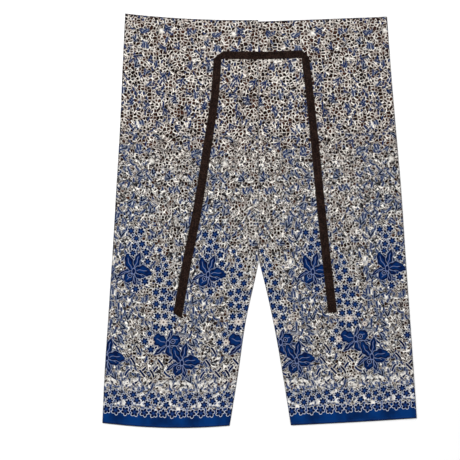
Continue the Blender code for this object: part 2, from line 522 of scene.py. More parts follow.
@dataclass(frozen=True)
class Chart:
    """Where the stars and orchids of the print stand, in mm of cloth."""

    repeat: float = 171.5
    quarter: float = 42.875
    layer_gap: float = 7.0
    side_orchids: tuple[Site, ...] = (Site(141, 186, 35, 0),)
    orchids: tuple[Site, ...] = (Site(52.5, 343, 36, 0), Site(175.5, 143.5, 36, 6))
    rosettes: tuple[Site, ...] = (
        Site(128, 233, 10.0, 10),
        Site(102, 187, 8.0, 0),
        Site(164, 219, 6.5, 25),
    )
    loose_stars: tuple[Site, ...] = (
        Site(41, 434, 9.1, 10), Site(64, 435, 9.1, 40), Site(54, 418, 8.5, 0),
        Site(68, 406, 9.1, 25), Site(51, 400, 8.5, 55), Site(78, 388, 9.3, 5),
        Site(48, 384, 8.5, 30), Site(83, 367, 9.1, 50), Site(80, 322, 9.6, 12),
        Site(60, 303, 9.1, 35), Site(109, 395, 7.0, 0), Site(120, 375, 7.0, 28),
        Site(108, 352, 9.1, 48), Site(126, 342, 9.1, 15), Site(126, 361, 7.3, 40),
        Site(113, 327, 9.6, 60), Site(136, 321, 9.1, 5), Site(125, 303, 9.1, 33),
        Site(107, 299, 9.1, 20), Site(121, 285, 8.5, 52), Site(140, 287, 9.1, 8),
        Site(109, 273, 9.1, 40), Site(128, 268, 9.1, 22), Site(145, 264, 9.1, 0),
        Site(114, 246, 9.0, 10), Site(112, 221, 9.3, 45), Site(128, 218, 9.3, 30),
        Site(143, 223, 8.5, 18), Site(151, 241, 9.0, 50), Site(131, 247, 8.5, 5),
        Site(88, 188, 9.1, 35), Site(103, 171, 9.1, 0), Site(98, 206, 7.8, 25),
    )
    border_stars: tuple[Site, ...] = (
        Site(25.5, 68.5, 9.0, 8),
        Site(7, 62, 8.2, 40),
        Site(34, 57, 8.6, 20),
        Site(15.5, 49.5, 8.8, 55),
    )
    edge_stars: tuple[Site, ...] = (Site(9, 31, 9.6, 12), Site(30, 30.5, 9.8, 44))

    def quartered(self, stars: tuple[Site, ...]) -> list[Site]:
        """Set a small group of stars four times into the repeat, turned a little each time.

        Args:
            stars: the stars of the group.

        Returns:
            The places of all the stars.
        """
        return [
            Site(star.along + self.quarter * k, star.above, star.radius, star.turn_deg + 17 * k)
            for k in range(4)
            for star in stars
        ]

    def sites(self, motif: Motif) -> list[Site]:
        """List all places of one kind of motif in the repeat.

        Args:
            motif: the kind of motif.

        Returns:
            The places.
        """
        kinds = {
            Motif.SIDE_ORCHID: list(self.side_orchids),
            Motif.ORCHID: list(self.orchids),
            Motif.ROSETTE: list(self.rosettes),
            Motif.EDGE_STAR: self.quartered(self.edge_stars),
            Motif.STAR: list(self.loose_stars) + self.quartered(self.border_stars),
        }
        return kinds[motif]

    def apart(self, one: Site, two: Site) -> float:
        """Give the free space between two motifs, across the repeat's edge too.

        Args:
            one: a motif's place.
            two: another one.

        Returns:
            The space between their outlines, in mm.
        """
        aside = abs(one.along - two.along) % self.repeat
        aside = min(aside, self.repeat - aside)
        return float(np.hypot(aside, one.above - two.above)) - one.radius - two.radius

    def layers(self, motif: Motif) -> list[list[Site]]:
        """Share a kind of motif out over layers in which they stand well apart.

        Args:
            motif: the kind of motif.

        Returns:
            The sites of each layer.
        """
        layers: list[list[Site]] = []
        for site in self.sites(motif):
            for layer in layers:
                if all(self.apart(site, other) > self.layer_gap for other in layer):
                    layer.append(site)
                    break
            else:
                layers.append([site])
        return layers

    def names(self, motif: Motif) -> list[str]:
        """Name the mesh attribute of each layer of a motif."""
        return [f"{motif.value}_{i}" for i in range(len(self.layers(motif)))]


CHART = Chart()


def write_motifs(mesh: bpy.types.Mesh, places: np.ndarray) -> None:
    """Give each face corner its place within the nearest motif of every layer.

    Args:
        mesh: a mesh of quads.
        places: the corners' places in the print, in mm, four for each face.
    """
    corners = places.reshape(-1, 4, 2)
    middle = corners.mean(axis=1)
    half = CHART.repeat / 2
    for motif in Motif:
        for name, sites in zip(CHART.names(motif), CHART.layers(motif)):
            table = np.array([(s.along, s.above, s.radius, radians(s.turn_deg)) for s in sites])
            aside = (middle[:, :1] - table[:, 0] + half) % CHART.repeat - half
            reach = np.hypot(aside, middle[:, 1:] - table[:, 1]) - table[:, 2]
            nearest = reach.argmin(axis=1)
            chosen = table[nearest]
            shift = middle[:, 0] - aside[np.arange(len(aside)), nearest]
            x = corners[:, :, 0] - shift[:, None]
            y = corners[:, :, 1] - chosen[:, 1:2]
            turn = chosen[:, 3:4]
            turned = (x * np.cos(turn) + y * np.sin(turn), y * np.cos(turn) - x * np.sin(turn))
            local = np.stack((*turned, np.broadcast_to(chosen[:, 2:3], x.shape)), axis=-1)
            layer = mesh.attributes.new(name, "FLOAT_VECTOR", "CORNER")
            layer.data.foreach_set("vector", local.astype(np.float32).ravel())


@dataclass(frozen=True)
class Scatter:
    """A field of small marks, one in each cell of the repeat: its cells, jitter and turn."""

    across: int
    pitch: float
    seed: float
    jitter: float
    lean_deg: float
    spread_deg: float

    def lay(self, bench: NodeBench, u: Signal, v: Signal) -> tuple[Signal, Signal, Signal, Signal]:
        """Find each point's place in the mark of its own cell.

        Args:
            bench: the material's nodes.
            u: the place along the repeat, in mm.
            v: the place above the hem, in mm.

        Returns:
            The place along and across the mark, in mm, and two random numbers of the mark.
        """
        cell = CHART.repeat / self.across
        row = (v / self.pitch).floor()
        place = u / cell + (row * 0.618).wrap(1.0)
        column = place.floor()
        first, second, third, fourth = bench.chance(column.wrap(self.across), row, self.seed)
        x = (place - column - 0.5) * cell - (first - 0.5) * (self.jitter * cell)
        y = (v / self.pitch - row - 0.5) * self.pitch - (second - 0.5) * (self.jitter * self.pitch)
        turn = (third - 0.5) * radians(self.spread_deg) + radians(self.lean_deg)
        x, y = bench.turned(x, y, turn)
        return x, y, fourth, third


@dataclass(frozen=True)
class Stroke:
    """A kind of strewn stroke with round ends: half its straight length, half its thickness, its bend.

    The sizes are in mm. The share is how many cells of the scatter have such a stroke.
    """

    marks: Scatter
    half: float
    thick: float
    bend: float
    share: float

    def edge(self, x: Signal, y: Signal, bent: Signal | float = 0.5) -> Signal:
        """Give the distance from the stroke's edge at a place along and across it, in mm."""
        curve = (bent - 0.5) * self.bend
        return x.bench.length((abs(x) - self.half).at_least(0.0), y + x * x * curve) - self.thick


@dataclass(frozen=True)
class LeafPair:
    """Two leaves that open from one root: half the height, each tip's way out, half the thickness, in mm."""

    rise: float
    spread: float
    thick: float

    def edge(self, x: Signal, y: Signal) -> Signal:
        """Measure how far the leaves' edge is.

        Args:
            x: the place across the pair, in mm.
            y: the place up it, in mm.

        Returns:
            The distance from the leaves' edge, in mm.
        """
        aside = abs(x)
        up = y + self.rise
        share = (aside * self.spread + up * (2 * self.rise)) / (self.spread**2 + 4 * self.rise**2)
        share = share.at_least(0.0).at_most(1.0)
        belly = share * (1.0 - share) * 4.0
        reach = x.bench.length(aside - share * self.spread, up - share * (2 * self.rise))
        return reach - (0.35 + belly * 0.65) * self.thick


@dataclass(frozen=True)
class Petal:
    """One petal of an orchid, in shares of its radius: its way, length, width, bend and ends.

    The two ends are powers: the smaller, the blunter.
    """

    way_deg: float
    length: float
    half_width: float
    bend: float
    tip: float
    root: float = 0.75

    def fullness(self) -> float:
        """Give what scales the product of the two ends' powers to the petal's half width."""
        whole = self.root + self.tip
        return self.half_width / ((self.root / whole) ** self.root * (self.tip / whole) ** self.tip)


@dataclass(frozen=True)
class Bloom:
    """The form of an orchid: its petals from the lowest to the topmost, and where its lip points."""

    petals: tuple[Petal, ...]
    lip_deg: float


@dataclass(frozen=True)
class Seed:
    """A kind of small seed or pebble in the print, in mm: pitch, two sizes and unevenness.

    A seed's sizes are half its length and half its width. A pebble's are the mean space that it
    leaves to the walls of its cell and how much that space differs.
    """

    pitch: float
    first_size: float
    second_size: float
    uneven: float


@dataclass
class Canvas:
    """The print while it is painted: its nodes, the place on the cloth in mm, and the colour so far."""

    bench: NodeBench
    u: Signal
    v: Signal
    ring: tuple[Signal, Signal]
    colour: object
    free: Signal | float = 1.0
    last: Signal | float = 0.0
    place: tuple[Signal, Signal, Signal] | None = None
    top: Signal = field(init=False)
    low: Signal = field(init=False)

    def __post_init__(self) -> None:
        """Mark the print's top and low zones."""
        self.top = self.v.ease(540.0, 700.0)
        self.low = self.v.ease(330.0, 200.0)

    def step(self, name: str, painter: Callable[["Canvas"], None], motif: str = "") -> None:
        """Paint one step of the print in a node group, made only once under its name.

        Args:
            name: the step's name.
            painter: what paints it.
            motif: the mesh's name for the places within a motif, if the step paints one.
        """
        inputs = {
            "Colour": self.colour,
            "Print": self.bench.joined(self.u, self.v),
            "Ring": self.bench.joined(*self.ring),
            "Free": self.free,
            "Last": self.last,
        }
        if motif:
            inputs["Place"] = self.bench.placed(motif)
        tree = bpy.data.node_groups.get(name) or self.group(name, painter)
        given = self.bench.add("Group", inputs, node_tree=tree)
        self.colour = given.outputs["Colour"]
        self.free, self.last = self.bench.signals((given.outputs["Free"], given.outputs["Last"]))

    @staticmethod
    def group(name: str, painter: Callable[["Canvas"], None]) -> bpy.types.NodeTree:
        """Paint one step on a canvas of its own, inside a node group.

        Args:
            name: the group's name.
            painter: what paints the step.

        Returns:
            The group.
        """
        bench = StepBench(name)
        taken = bench.taken
        u, v, _ = bench.parted(taken["Print"])
        ring = bench.parted(taken["Ring"])[:2]
        free, last = bench.signals((taken["Free"], taken["Last"]))
        canvas = Canvas(bench, u, v, ring, taken["Colour"], free, last, bench.parted(taken["Place"]))
        painter(canvas)
        for title, value in (("Colour", canvas.colour), ("Free", canvas.free), ("Last", canvas.last)):
            bench.feed(bench.given[title], value)
        return bench.tree

    def paint(self, over: object, mask: Signal | float) -> None:
        """Lay a colour over what is painted so far."""
        self.colour = self.bench.painted(self.colour, over, mask)
        self.last = mask

    def wound(self) -> bpy.types.NodeSocket:
        """Give the place on the wound cloth, so that noise meets itself where the repeat closes."""
        return self.bench.joined(*self.after(*self.ring, self.v))

    def noise(self, scale: float, detail: float = 1.0, rough: float = 0.5) -> Signal:
        """Give soft noise over the cloth, of a size per mm."""
        return self.bench.noise(self.wound(), scale, detail, rough)

    def strewn(self, marks: Scatter) -> tuple[Signal, ...]:
        """Give the place within the nearest mark of a scatter, and two random numbers of the mark."""
        return marks.lay(self.bench, *self.after(self.u, self.v))

    def after(self, *places: Signal) -> list[Signal]:
        """Tie places to the last mask by a hair, so that the shader works through one mark at a time."""
        return [place + self.last * 1e-9 for place in places]


@dataclass(frozen=True)
class Halo:
    """The soft surround of a mark: its colour and strength, and where it ends and starts, in mm."""

    colour: Colour
    strength: Signal | float
    end: float = 2.2
    start: float = 0.8


@dataclass(frozen=True)
class MattFinish:
    """What both cloths share: next to no gloss, and a faint sheen."""

    specular: float = 0.05
    sheen: float = 0.02
    sheen_roughness: float = 0.5

    def dull(self, bench: NodeBench) -> None:
        """Set the gloss and the sheen of a material.

        Args:
            bench: the material's nodes.
        """
        sockets = bench.shader.inputs
        sockets["Specular IOR Level"].default_value = self.specular
        sockets["Sheen Weight"].default_value = self.sheen
        sockets["Sheen Roughness"].default_value = self.sheen_roughness


@dataclass(frozen=True)
class PrintedCotton(MattFinish):
    """Plain-weave cotton with an all-over floral batik print and a plain hem band."""

    name: str = "printed_cotton"
    cream: Colour = (0.600, 0.545, 0.490, 1.0)
    cool_cream: Colour = (0.430, 0.430, 0.425, 1.0)
    dim_cream: Colour = (0.400, 0.350, 0.310, 1.0)
    light: Colour = (0.925, 0.890, 0.825, 1.0)
    beige: Colour = (0.235, 0.175, 0.145, 1.0)
    brown_wash: Colour = (0.130, 0.070, 0.055, 1.0)
    grey: Colour = (0.135, 0.142, 0.158, 1.0)
    haze: Colour = (0.160, 0.195, 0.270, 1.0)
    ink: Colour = (0.006, 0.005, 0.007, 1.0)
    brown_black: Colour = (0.009, 0.0045, 0.004, 1.0)
    brown: Colour = (0.050, 0.018, 0.012, 1.0)
    navy: Colour = (0.005, 0.014, 0.066, 1.0)
    night: Colour = (0.0004, 0.0010, 0.015, 1.0)
    royal: Colour = (0.0006, 0.018, 0.096, 1.0)
    deep_royal: Colour = (0.0004, 0.0055, 0.040, 1.0)
    azure: Colour = (0.030, 0.080, 0.260, 1.0)
    vein: Colour = (0.155, 0.195, 0.345, 1.0)
    web: Colour = (0.095, 0.140, 0.260, 1.0)
    outline: Colour = (0.560, 0.590, 0.670, 1.0)
    blossom: Colour = (0.440, 0.395, 0.365, 1.0)
    band: Colour = (0.0002, 0.012, 0.066, 1.0)
    band_light: Colour = (0.0002, 0.028, 0.142, 1.0)
    band_edge: Colour = (0.0002, 0.005, 0.035, 1.0)
    # painted shade for the edges, where the cloth turns away from the light
    painted_edge_shade: Colour = (0.020, 0.022, 0.035, 1.0)
    edge_soft: float = 0.30
    band_top: float = 38.0
    brown_from: float = 79.0
    reverse_wash: Colour = (0.40, 0.39, 0.38, 1.0)
    reverse_share: float = 0.45
    thread: float = 0.45
    top_pebble: Seed = Seed(8.0, 1.00, 0.85, 0.95)
    low_pebble: Seed = Seed(7.0, 1.30, 1.05, 0.95)
    slim_seed: Seed = Seed(7.0, 3.9, 1.35, 0.85)
    glint: Stroke = Stroke(Scatter(8, 20.0, 83.0, 0.75, 90, 180), 4.6, 1.15, 0.06, 0.45)
    single_strokes: tuple[Stroke, ...] = (
        Stroke(Scatter(9, 19.5, 37.0, 0.75, 90, 110), 7.6, 1.75, 0.7 / 7.6, 0.44),
        Stroke(Scatter(14, 13.0, 41.0, 0.75, 90, 110), 3.0, 1.70, 0.7 / 3.0, 0.26),
    )
    close_pair: Stroke = Stroke(Scatter(7, 22.0, 47.0, 0.60, 90, 120), 5.4, 1.60, 0.08, 0.10)
    pair_half_gap: float = 3.3
    open_marks: Scatter = Scatter(5, 29.0, 53.0, 0.60, 0, 180)
    open_leaves: LeafPair = LeafPair(6.8, 6.4, 1.8)
    spray_stems: tuple[Stroke, ...] = (
        Stroke(Scatter(4, 37.0, 71.0, 0.60, 60, 130), 6.4, 1.15, 0.05, 0.24),
        Stroke(Scatter(4, 37.0, 73.0, 0.60, 200, 130), 6.4, 1.15, 0.05, 0.24),
    )
    spray_leaves: LeafPair = LeafPair(7.4, 8.4, 1.45)
    sprig_strokes: tuple[Stroke, ...] = (
        Stroke(Scatter(6, 27.0, 61.0, 0.55, 48, 24), 7.8, 2.45, 0.04, 0.62),
        Stroke(Scatter(6, 27.0, 67.0, 0.55, 132, 24), 7.8, 2.45, 0.04, 0.62),
    )
    bud: Stroke = Stroke(Scatter(19, 9.0, 91.0, 0.60, 0, 360), 0.9, 1.7, 0.0, 0.60)
    ring_pitch: float = 21.0
    light_pitch: float = 33.0
    front_bloom: Bloom = Bloom(
        petals=(
            Petal(76, 1.26, 0.200, 0.04, 0.75),
            Petal(178, 1.02, 0.150, -0.44, 0.75),
            Petal(-80, 0.90, 0.140, 0.02, 0.70),
            Petal(131, 1.12, 0.280, 0.30, 0.55),
            Petal(233, 0.84, 0.300, -0.04, 0.42),
            Petal(-30, 0.82, 0.250, -0.12, 0.40),
            Petal(22, 1.03, 0.340, 0.40, 0.32),
        ),
        lip_deg=232,
    )
    side_bloom: Bloom = Bloom(
        petals=(
            Petal(290, 0.85, 0.300, 0.00, 0.50),
            Petal(227, 1.15, 0.160, 0.10, 0.80),
            Petal(78, 0.88, 0.130, 0.05, 0.80),
            Petal(-22, 1.02, 0.140, -0.25, 0.80),
            Petal(25, 0.86, 0.330, 0.00, 0.42),
            Petal(166, 1.00, 0.390, 0.10, 0.50),
        ),
        lip_deg=24,
    )
    star_petals: tuple[int, ...] = (6, 5, 7, 6, 5)

    def shown(self, distance: Signal) -> Signal:
        """Turn a distance from a mark's edge, in mm, into a mask with a soft edge."""
        return distance.ease(self.edge_soft, -self.edge_soft)

    def stamp(self, art: Canvas, edge: Signal, show: Signal, shade: object, halo: Halo) -> None:
        """Paint a kind of mark, by the distance from its edge in mm, with a soft halo round it."""
        art.paint(halo.colour, edge.ease(halo.end, halo.start) * show * halo.strength)
        art.paint(shade, self.shown(edge) * show)

    def brown_side(self, art: Canvas) -> Signal:
        """Give a slow wave round the leg: 1 where the print is brownest, -1 where it is bluest."""
        return ((art.u - self.brown_from) * (tau / CHART.repeat)).sine()

    def base(self, art: Canvas) -> None:
        """Cover the cream cloth with small ragged marks in beige, grey, near black and bright cream.

        Args:
            art: the print so far.
        """
        bench = art.bench
        art.paint(self.cool_cream, 1.0 - art.top)
        clouds = art.noise(0.034, 2.0)
        grain = art.noise(0.165, 1.0)
        share = clouds.ease(0.40, 0.54) * (art.top * -0.4 + 1.0) + (art.top * -0.35 + 0.35)
        shade = bench.painted(self.beige, self.grey, share)
        art.paint(shade, grain.ease(0.570, 0.480) * 0.95)
        art.paint(self.brown_black, grain.ease(0.470, 0.405) * 0.92)
        art.paint(self.light, grain.ease(0.590, 0.690) * 0.90)
        art.paint(self.brown_wash, art.noise(0.032, 2.0).ease(0.44, 0.64) * art.top * 0.42)

    def scribbles(self, art: Canvas) -> None:
        """Draw fine curved strokes side by side, below the top zone.

        Args:
            art: the print so far.
        """
        flow = art.noise(0.045, 1.0, 0.45)
        gaps = art.noise(0.16)
        lines = (flow * (tau * 6.5)).sine()
        mask = lines.ease(-0.40, 0.10) * gaps.ease(0.36, 0.42)
        art.paint(self.ink, mask * (0.88 - art.top * 0.40))

    def pebbles(self, art: Canvas, kind: Seed, share: Signal) -> None:
        """Strew dark dots, parted by a net of bare cloth.

        Args:
            art: the print so far.
            kind: the dots' sizes.
            share: how many of them are drawn.
        """
        bench = art.bench
        u, v = art.after(art.u, art.v)
        _, _, first, second, third = bench.hearts(u, v, kind)
        margin = (first - 0.5) * (2 * kind.second_size) + kind.first_size
        inside = bench.walls(u, v, kind) - margin
        drawn = third.below(share)
        net = bench.painted(self.dim_cream, self.light, art.noise(0.115).ease(0.43, 0.60))
        art.paint(net, inside.ease(-1.6, -0.6) * drawn * (art.top * 0.10 + 0.70))
        rust = art.noise(0.040).ease(0.42, 0.58)
        shade = bench.painted(self.brown_black, self.brown, rust * second)
        art.paint(shade, inside.ease(-self.edge_soft, self.edge_soft) * drawn)
        art.free = (1.0 - inside.ease(-1.8, -1.0) * drawn) * art.free

    def seeds(self, art: Canvas) -> None:
        """Strew slim dark seeds where the cloth is free.

        Args:
            art: the print so far.
        """
        kind = self.slim_seed
        bench = art.bench
        x, y, first, second, third = bench.hearts(*art.after(art.u, art.v), kind)
        x, y = bench.turned(x, y, first * (tau / 2))
        size = second * 0.45 + 0.78
        edge = (bench.length(x / kind.first_size, y / kind.second_size) - size) * kind.second_size
        drawn = third.below(0.72 - art.top * 0.25) * art.free
        self.stamp(art, edge, drawn, self.ink, Halo(self.cream, 0.60, end=1.5))

    def rings(self, art: Canvas) -> None:
        """Draw small rings with a dot inside.

        Args:
            art: the print so far.
        """
        near, pick, *_ = art.bench.cells(art.wound(), 1 / self.ring_pitch)
        away = near * self.ring_pitch
        show = pick.below(0.40 - art.top * 0.15)
        art.paint(self.cream, away.ease(4.2, 3.6) * show)
        art.paint(self.ink, abs(away - 3.9).ease(1.1, 0.5) * show)
        art.paint(self.brown_black, away.ease(1.6, 1.0) * show)

    def lights(self, art: Canvas) -> None:
        """Leave a few bright blobs of bare cloth.

        Args:
            art: the print so far.
        """
        place = art.bench.stirred(art.wound(), 0.06, 12.0)
        near, pick, *_ = art.bench.cells(place, 1 / self.light_pitch)
        art.paint(self.light, near.ease(0.32, 0.06) * pick.below(0.36) * 0.80)

    def glints(self, art: Canvas) -> None:
        """Leave thin slanting lines of bright cloth.

        Args:
            art: the print so far.
        """
        x, y, pick, bent = art.strewn(self.glint.marks)
        line = self.glint.edge(x, y, bent)
        art.paint(self.light, self.shown(line) * pick.below(self.glint.share) * 0.80)

    def strokes(self, art: Canvas) -> None:
        """Draw navy strokes: long and short single ones, close pairs and leaves that open in a V.

        Args:
            art: the print so far.
        """
        crowd = (art.noise(0.045) - 0.5) * 2.4 - self.brown_side(art) * 0.18 - art.top * 0.14
        for kind in self.single_strokes:
            x, y, pick, bent = art.strewn(kind.marks)
            stroke = kind.edge(x, y, bent)
            halo = Halo(self.haze, 0.70 - art.top * 0.35, start=0.6)
            self.stamp(art, stroke, pick.below(crowd + kind.share), self.navy, halo)
        x, y, pick, bent = art.strewn(self.close_pair.marks)
        pair = self.close_pair.edge(x, abs(y) - self.pair_half_gap, bent)
        show = pick.below(crowd + self.close_pair.share - art.low * 0.10)
        self.stamp(art, pair, show, self.navy, Halo(self.haze, 0.75))
        x, y, pick, _ = art.strewn(self.open_marks)
        show = pick.below(crowd + 0.22 + art.low * 0.28)
        self.stamp(art, self.open_leaves.edge(x, y), show, self.night, Halo(self.haze, 0.75, end=2.4))

    def sprays(self, art: Canvas) -> None:
        """Draw sprays of three slim blue leaves in the top zone.

        Args:
            art: the print so far.
        """
        for stem in self.spray_stems:
            x, y, pick, bent = art.strewn(stem.marks)
            middle = stem.edge(y, x, bent)
            edge = self.spray_leaves.edge(x, y).at_most(middle)
            show = pick.below(art.top * ((art.noise(0.045) - 0.5) * 1.6 + stem.share))
            shade = art.bench.painted(self.navy, self.deep_royal, bent)
            self.stamp(art, edge, show, shade, Halo(self.haze, 0.35, start=0.6))

    def sprigs(self, art: Canvas) -> None:
        """Draw the long slanting strokes that meet in zigzags above the border.

        Args:
            art: the print so far.
        """
        zone = art.v.ease(78.0, 92.0) * art.v.ease(215.0, 190.0)
        for kind in self.sprig_strokes:
            x, y, pick, bent = art.strewn(kind.marks)
            stroke = kind.edge(x, y, bent)
            shade = art.bench.painted(self.night, self.navy, bent)
            halo = Halo(self.light, 0.50, end=1.3, start=0.7)
            self.stamp(art, stroke, pick.below(kind.share) * zone, shade, halo)

    def border_ground(self, art: Canvas) -> None:
        """Paint cream patches and dark buds among the border's stars.

        Args:
            art: the print so far.
        """
        zone = art.v.ease(40.0, 47.0) * art.v.ease(62.0, 55.0)
        art.paint(self.light, art.noise(0.085).ease(0.47, 0.60) * zone * 0.70)
        zone = art.v.ease(74.0, 84.0) * art.v.ease(108.0, 98.0)
        art.paint(self.light, art.noise(0.110).ease(0.50, 0.62) * zone * 0.60)
        x, y, pick, _ = art.strewn(self.bud.marks)
        show = pick.below(self.bud.share) * art.v.ease(36.0, 38.0) * art.v.ease(92.0, 80.0)
        halo = Halo(self.web, 0.80, end=1.8, start=0.5)
        self.stamp(art, self.bud.edge(x, y), show, self.royal, halo)

    def top_dots(self, art: Canvas) -> None:
        """Strew the crowded dark dots of the top zone."""
        self.pebbles(art, self.top_pebble, ((art.noise(0.040) - 0.5) * 2.4 + 1.05) * art.top)

    def low_dots(self, art: Canvas) -> None:
        """Strew the looser dark dots below the top zone."""
        share = (art.noise(0.060) - 0.5) * 1.8 + self.brown_side(art) * 0.22 + 0.58 - art.top
        self.pebbles(art, self.low_pebble, share)

    def ground(self, art: Canvas) -> None:
        """Paint the dense filling of dots, curved strokes and leaves.

        Args:
            art: the print so far.
        """
        marks = (self.scribbles, self.top_dots, self.low_dots, self.seeds, self.rings, self.lights)
        lines = (self.glints, self.strokes, self.sprays, self.sprigs, self.border_ground)
        for painter in (self.base, *marks, *lines):
            art.step(painter.__name__, painter)

    def hem_band(self, art: Canvas) -> None:
        """Paint the plain band at the hem, uneven in tone and darker along the edge.

        Args:
            art: the print so far.
        """
        scallop = abs((art.u * (tau / CHART.quarter)).sine()) * 2.6
        in_band = (art.v + scallop).ease(self.band_top + 1.0, self.band_top)
        tone = art.noise(0.022, 3.0, 0.6).ease(0.32, 0.68)
        art.paint(art.bench.painted(self.band, self.band_light, tone), in_band)
        art.paint(self.band_edge, art.v.ease(3.2, 0.8) * 0.8)

    def star(self, art: Canvas, petals: int, rim: float) -> None:
        """Paint a small star-shaped flower: dark petals with round tips and a brighter heart.

        Args:
            art: the print so far.
            petals: how many petals it has.
            rim: how far its pale outline reaches, in mm.
        """
        bench = art.bench
        x, y, radius = art.after(*art.place)
        share = bench.length(x, y) / radius
        part = tau / petals
        half = 1.62 / petals
        turn = (bench.angle(x, y) + share * 0.25).wrap(part) - part / 2
        out = share * turn.cosine()
        petal = (bench.length((out - 0.60) / 0.40, share * turn.sine() / half) - 1.0) * half
        edge = petal.at_most(share - 0.32) * radius
        art.paint(self.outline, edge.ease(rim, rim - 0.6))
        art.paint(self.web, share.ease(0.84, 0.60) * 0.75)
        shade = bench.painted(self.royal, self.night, share.ease(0.18, 0.66) * 0.92)
        shade = bench.painted(shade, self.azure, share.ease(0.24, 0.02) * 0.65)
        art.paint(shade, self.shown(edge))

    def rosette(self, art: Canvas) -> None:
        """Paint a pale rosette: eight round petals about a dark heart, on a dark ring.

        Args:
            art: the print so far.
        """
        bench = art.bench
        x, y, radius = art.after(*art.place)
        away = bench.length(x, y)
        petals = (bench.angle(x, y) * 8.0).sine()
        edge = away - radius + (1.0 - petals) * 0.8
        art.paint(self.navy, edge.ease(1.9, 1.3) * 0.75)
        art.paint(self.blossom, edge.ease(0.8, 0.0))
        art.paint(self.cream, abs(away / radius - 0.48).ease(0.26, 0.14) * 0.80)
        between = petals.ease(-0.45, -0.95) * abs(away / radius - 0.72).ease(0.22, 0.12)
        art.paint(self.brown, between * 0.80)
        art.paint(self.brown, away.ease(2.5, 1.7) * 0.90)

    def orchid(self, art: Canvas, bloom: Bloom) -> None:
        """Paint a large orchid: narrow and broad petals, each outlined and with a pale midrib.

        Args:
            art: the print so far.
            bloom: the flower's form.
        """
        bench = art.bench
        x, y, radius = art.after(*art.place)
        x = x / radius
        y = y / radius
        for number, petal in enumerate(bloom.petals):
            x, y = art.after(x, y)
            out, aside = bench.turned(x, y, radians(petal.way_deg))
            share = out / petal.length
            inside = share.at_least(0.001).at_most(0.999)
            wave = (out * 15.0 + 1.7 * number).sine() * 0.13 + 1.0
            width = inside**petal.root * (1.0 - inside) ** petal.tip * wave * petal.fullness()
            beyond = (share - 1.0).at_least(share * -1.0).at_least(0.0) * petal.length
            bowed = aside + share * share * petal.bend
            edge = (abs(bowed) - width + beyond) * radius
            art.paint(self.haze, edge.ease(1.8, 1.1) * 0.60)
            art.paint(self.vein, edge.ease(1.0, 0.5))
            shade = bench.painted(self.royal, self.deep_royal, art.noise(0.09, 2.0).ease(0.46, 0.66))
            shade = bench.painted(shade, self.night, edge.ease(-5.2, -1.0) * 0.96)
            rib = abs(bowed + (out * 13.0 + number * 1.0).sine() * 0.025) * radius
            rib = rib.ease(0.85, 0.30) * share.ease(0.12, 0.24) * share.ease(0.84, 0.72)
            art.paint(bench.painted(shade, self.vein, rib), self.shown(edge))
        way = radians(bloom.lip_deg)
        curl = bench.length(x - 0.35 * cos(way), y - 0.35 * sin(way)) * radius
        art.paint(self.night, curl.ease(4.6, 3.8))
        art.paint(self.vein, abs(curl - 4.9).ease(0.9, 0.35))
        art.paint(self.vein, curl.ease(1.8, 1.0))
        heart = bench.length(x, y * 0.62) * radius
        art.paint(self.deep_royal, heart.ease(4.4, 3.6))
        art.paint(self.vein, abs(heart - 4.2).ease(0.85, 0.30))

    def flowers(self, art: Canvas) -> None:
        """Paint the motifs that have places of their own, and the hem band below them.

        Args:
            art: the print so far.
        """
        for name in CHART.names(Motif.SIDE_ORCHID):
            art.step("side_orchid", partial(self.orchid, bloom=self.side_bloom), name)
        for name in CHART.names(Motif.ORCHID):
            art.step("orchid", partial(self.orchid, bloom=self.front_bloom), name)
        art.step("hem_band", self.hem_band)
        for name in CHART.names(Motif.ROSETTE):
            art.step("rosette", self.rosette, name)
        for name in CHART.names(Motif.EDGE_STAR):
            art.step("edge_star", partial(self.star, petals=5, rim=1.20), name)
        for number, name in enumerate(CHART.names(Motif.STAR)):
            petals = self.star_petals[number % len(self.star_petals)]
            art.step(f"star_{petals}", partial(self.star, petals=petals, rim=0.95), name)

    def material(self) -> bpy.types.Material:
        """Build the material: print, hem band, painted shade along the edges, paler reverse side, weave and
        sheen.

        Returns:
            The material.
        """
        bench = NodeBench(self.name)
        u, v = bench.mapped(PRINT_MAP, MM)
        turn = u * (tau / CHART.repeat)
        size = CHART.repeat / tau
        ring = (turn.sine() * size, (turn + pi / 2).sine() * size)
        art = Canvas(bench, u, v, ring, self.cream)
        self.ground(art)
        self.flowers(art)
        # Painted shade: a dark band along the side fold, the seam edges, the waist and the hem, where the
        # cloth turns away from the light.
        art.paint(self.painted_edge_shade, bench.marked(NEAR_EDGE).ease(2.6, 0.4) * 0.60)

        thread = tau / self.thread
        weft = (v * thread).sine()
        warp = (u * thread).sine()
        weave = warp * weft * 0.5 + 0.5
        slub = bench.noise(bench.joined(u * 0.25, v * 2.2), 1.0, 2.0, 0.6)
        inputs = {0: art.colour, "Scale": (slub - 0.5) * 0.16 + 1.0}
        front = bench.add("VectorMath", inputs, operation="SCALE").outputs[0]
        back = bench.painted(front, self.reverse_wash, self.reverse_share)
        shader = bench.shader.inputs
        bench.feed(shader["Base Color"], bench.painted(front, back, bench.marked(REVERSE)))
        bench.feed(shader["Roughness"], weave * 0.08 + 0.86)
        self.dull(bench)
        rumple = bench.noise(bench.joined(u, v), 0.12, 3.0, 0.55)
        soft = bench.bumped(rumple, 0.0005, 0.25)
        bench.feed(shader["Normal"], bench.bumped(weave + slub * 0.6, 0.00006, 0.5, soft))
        return bench.material


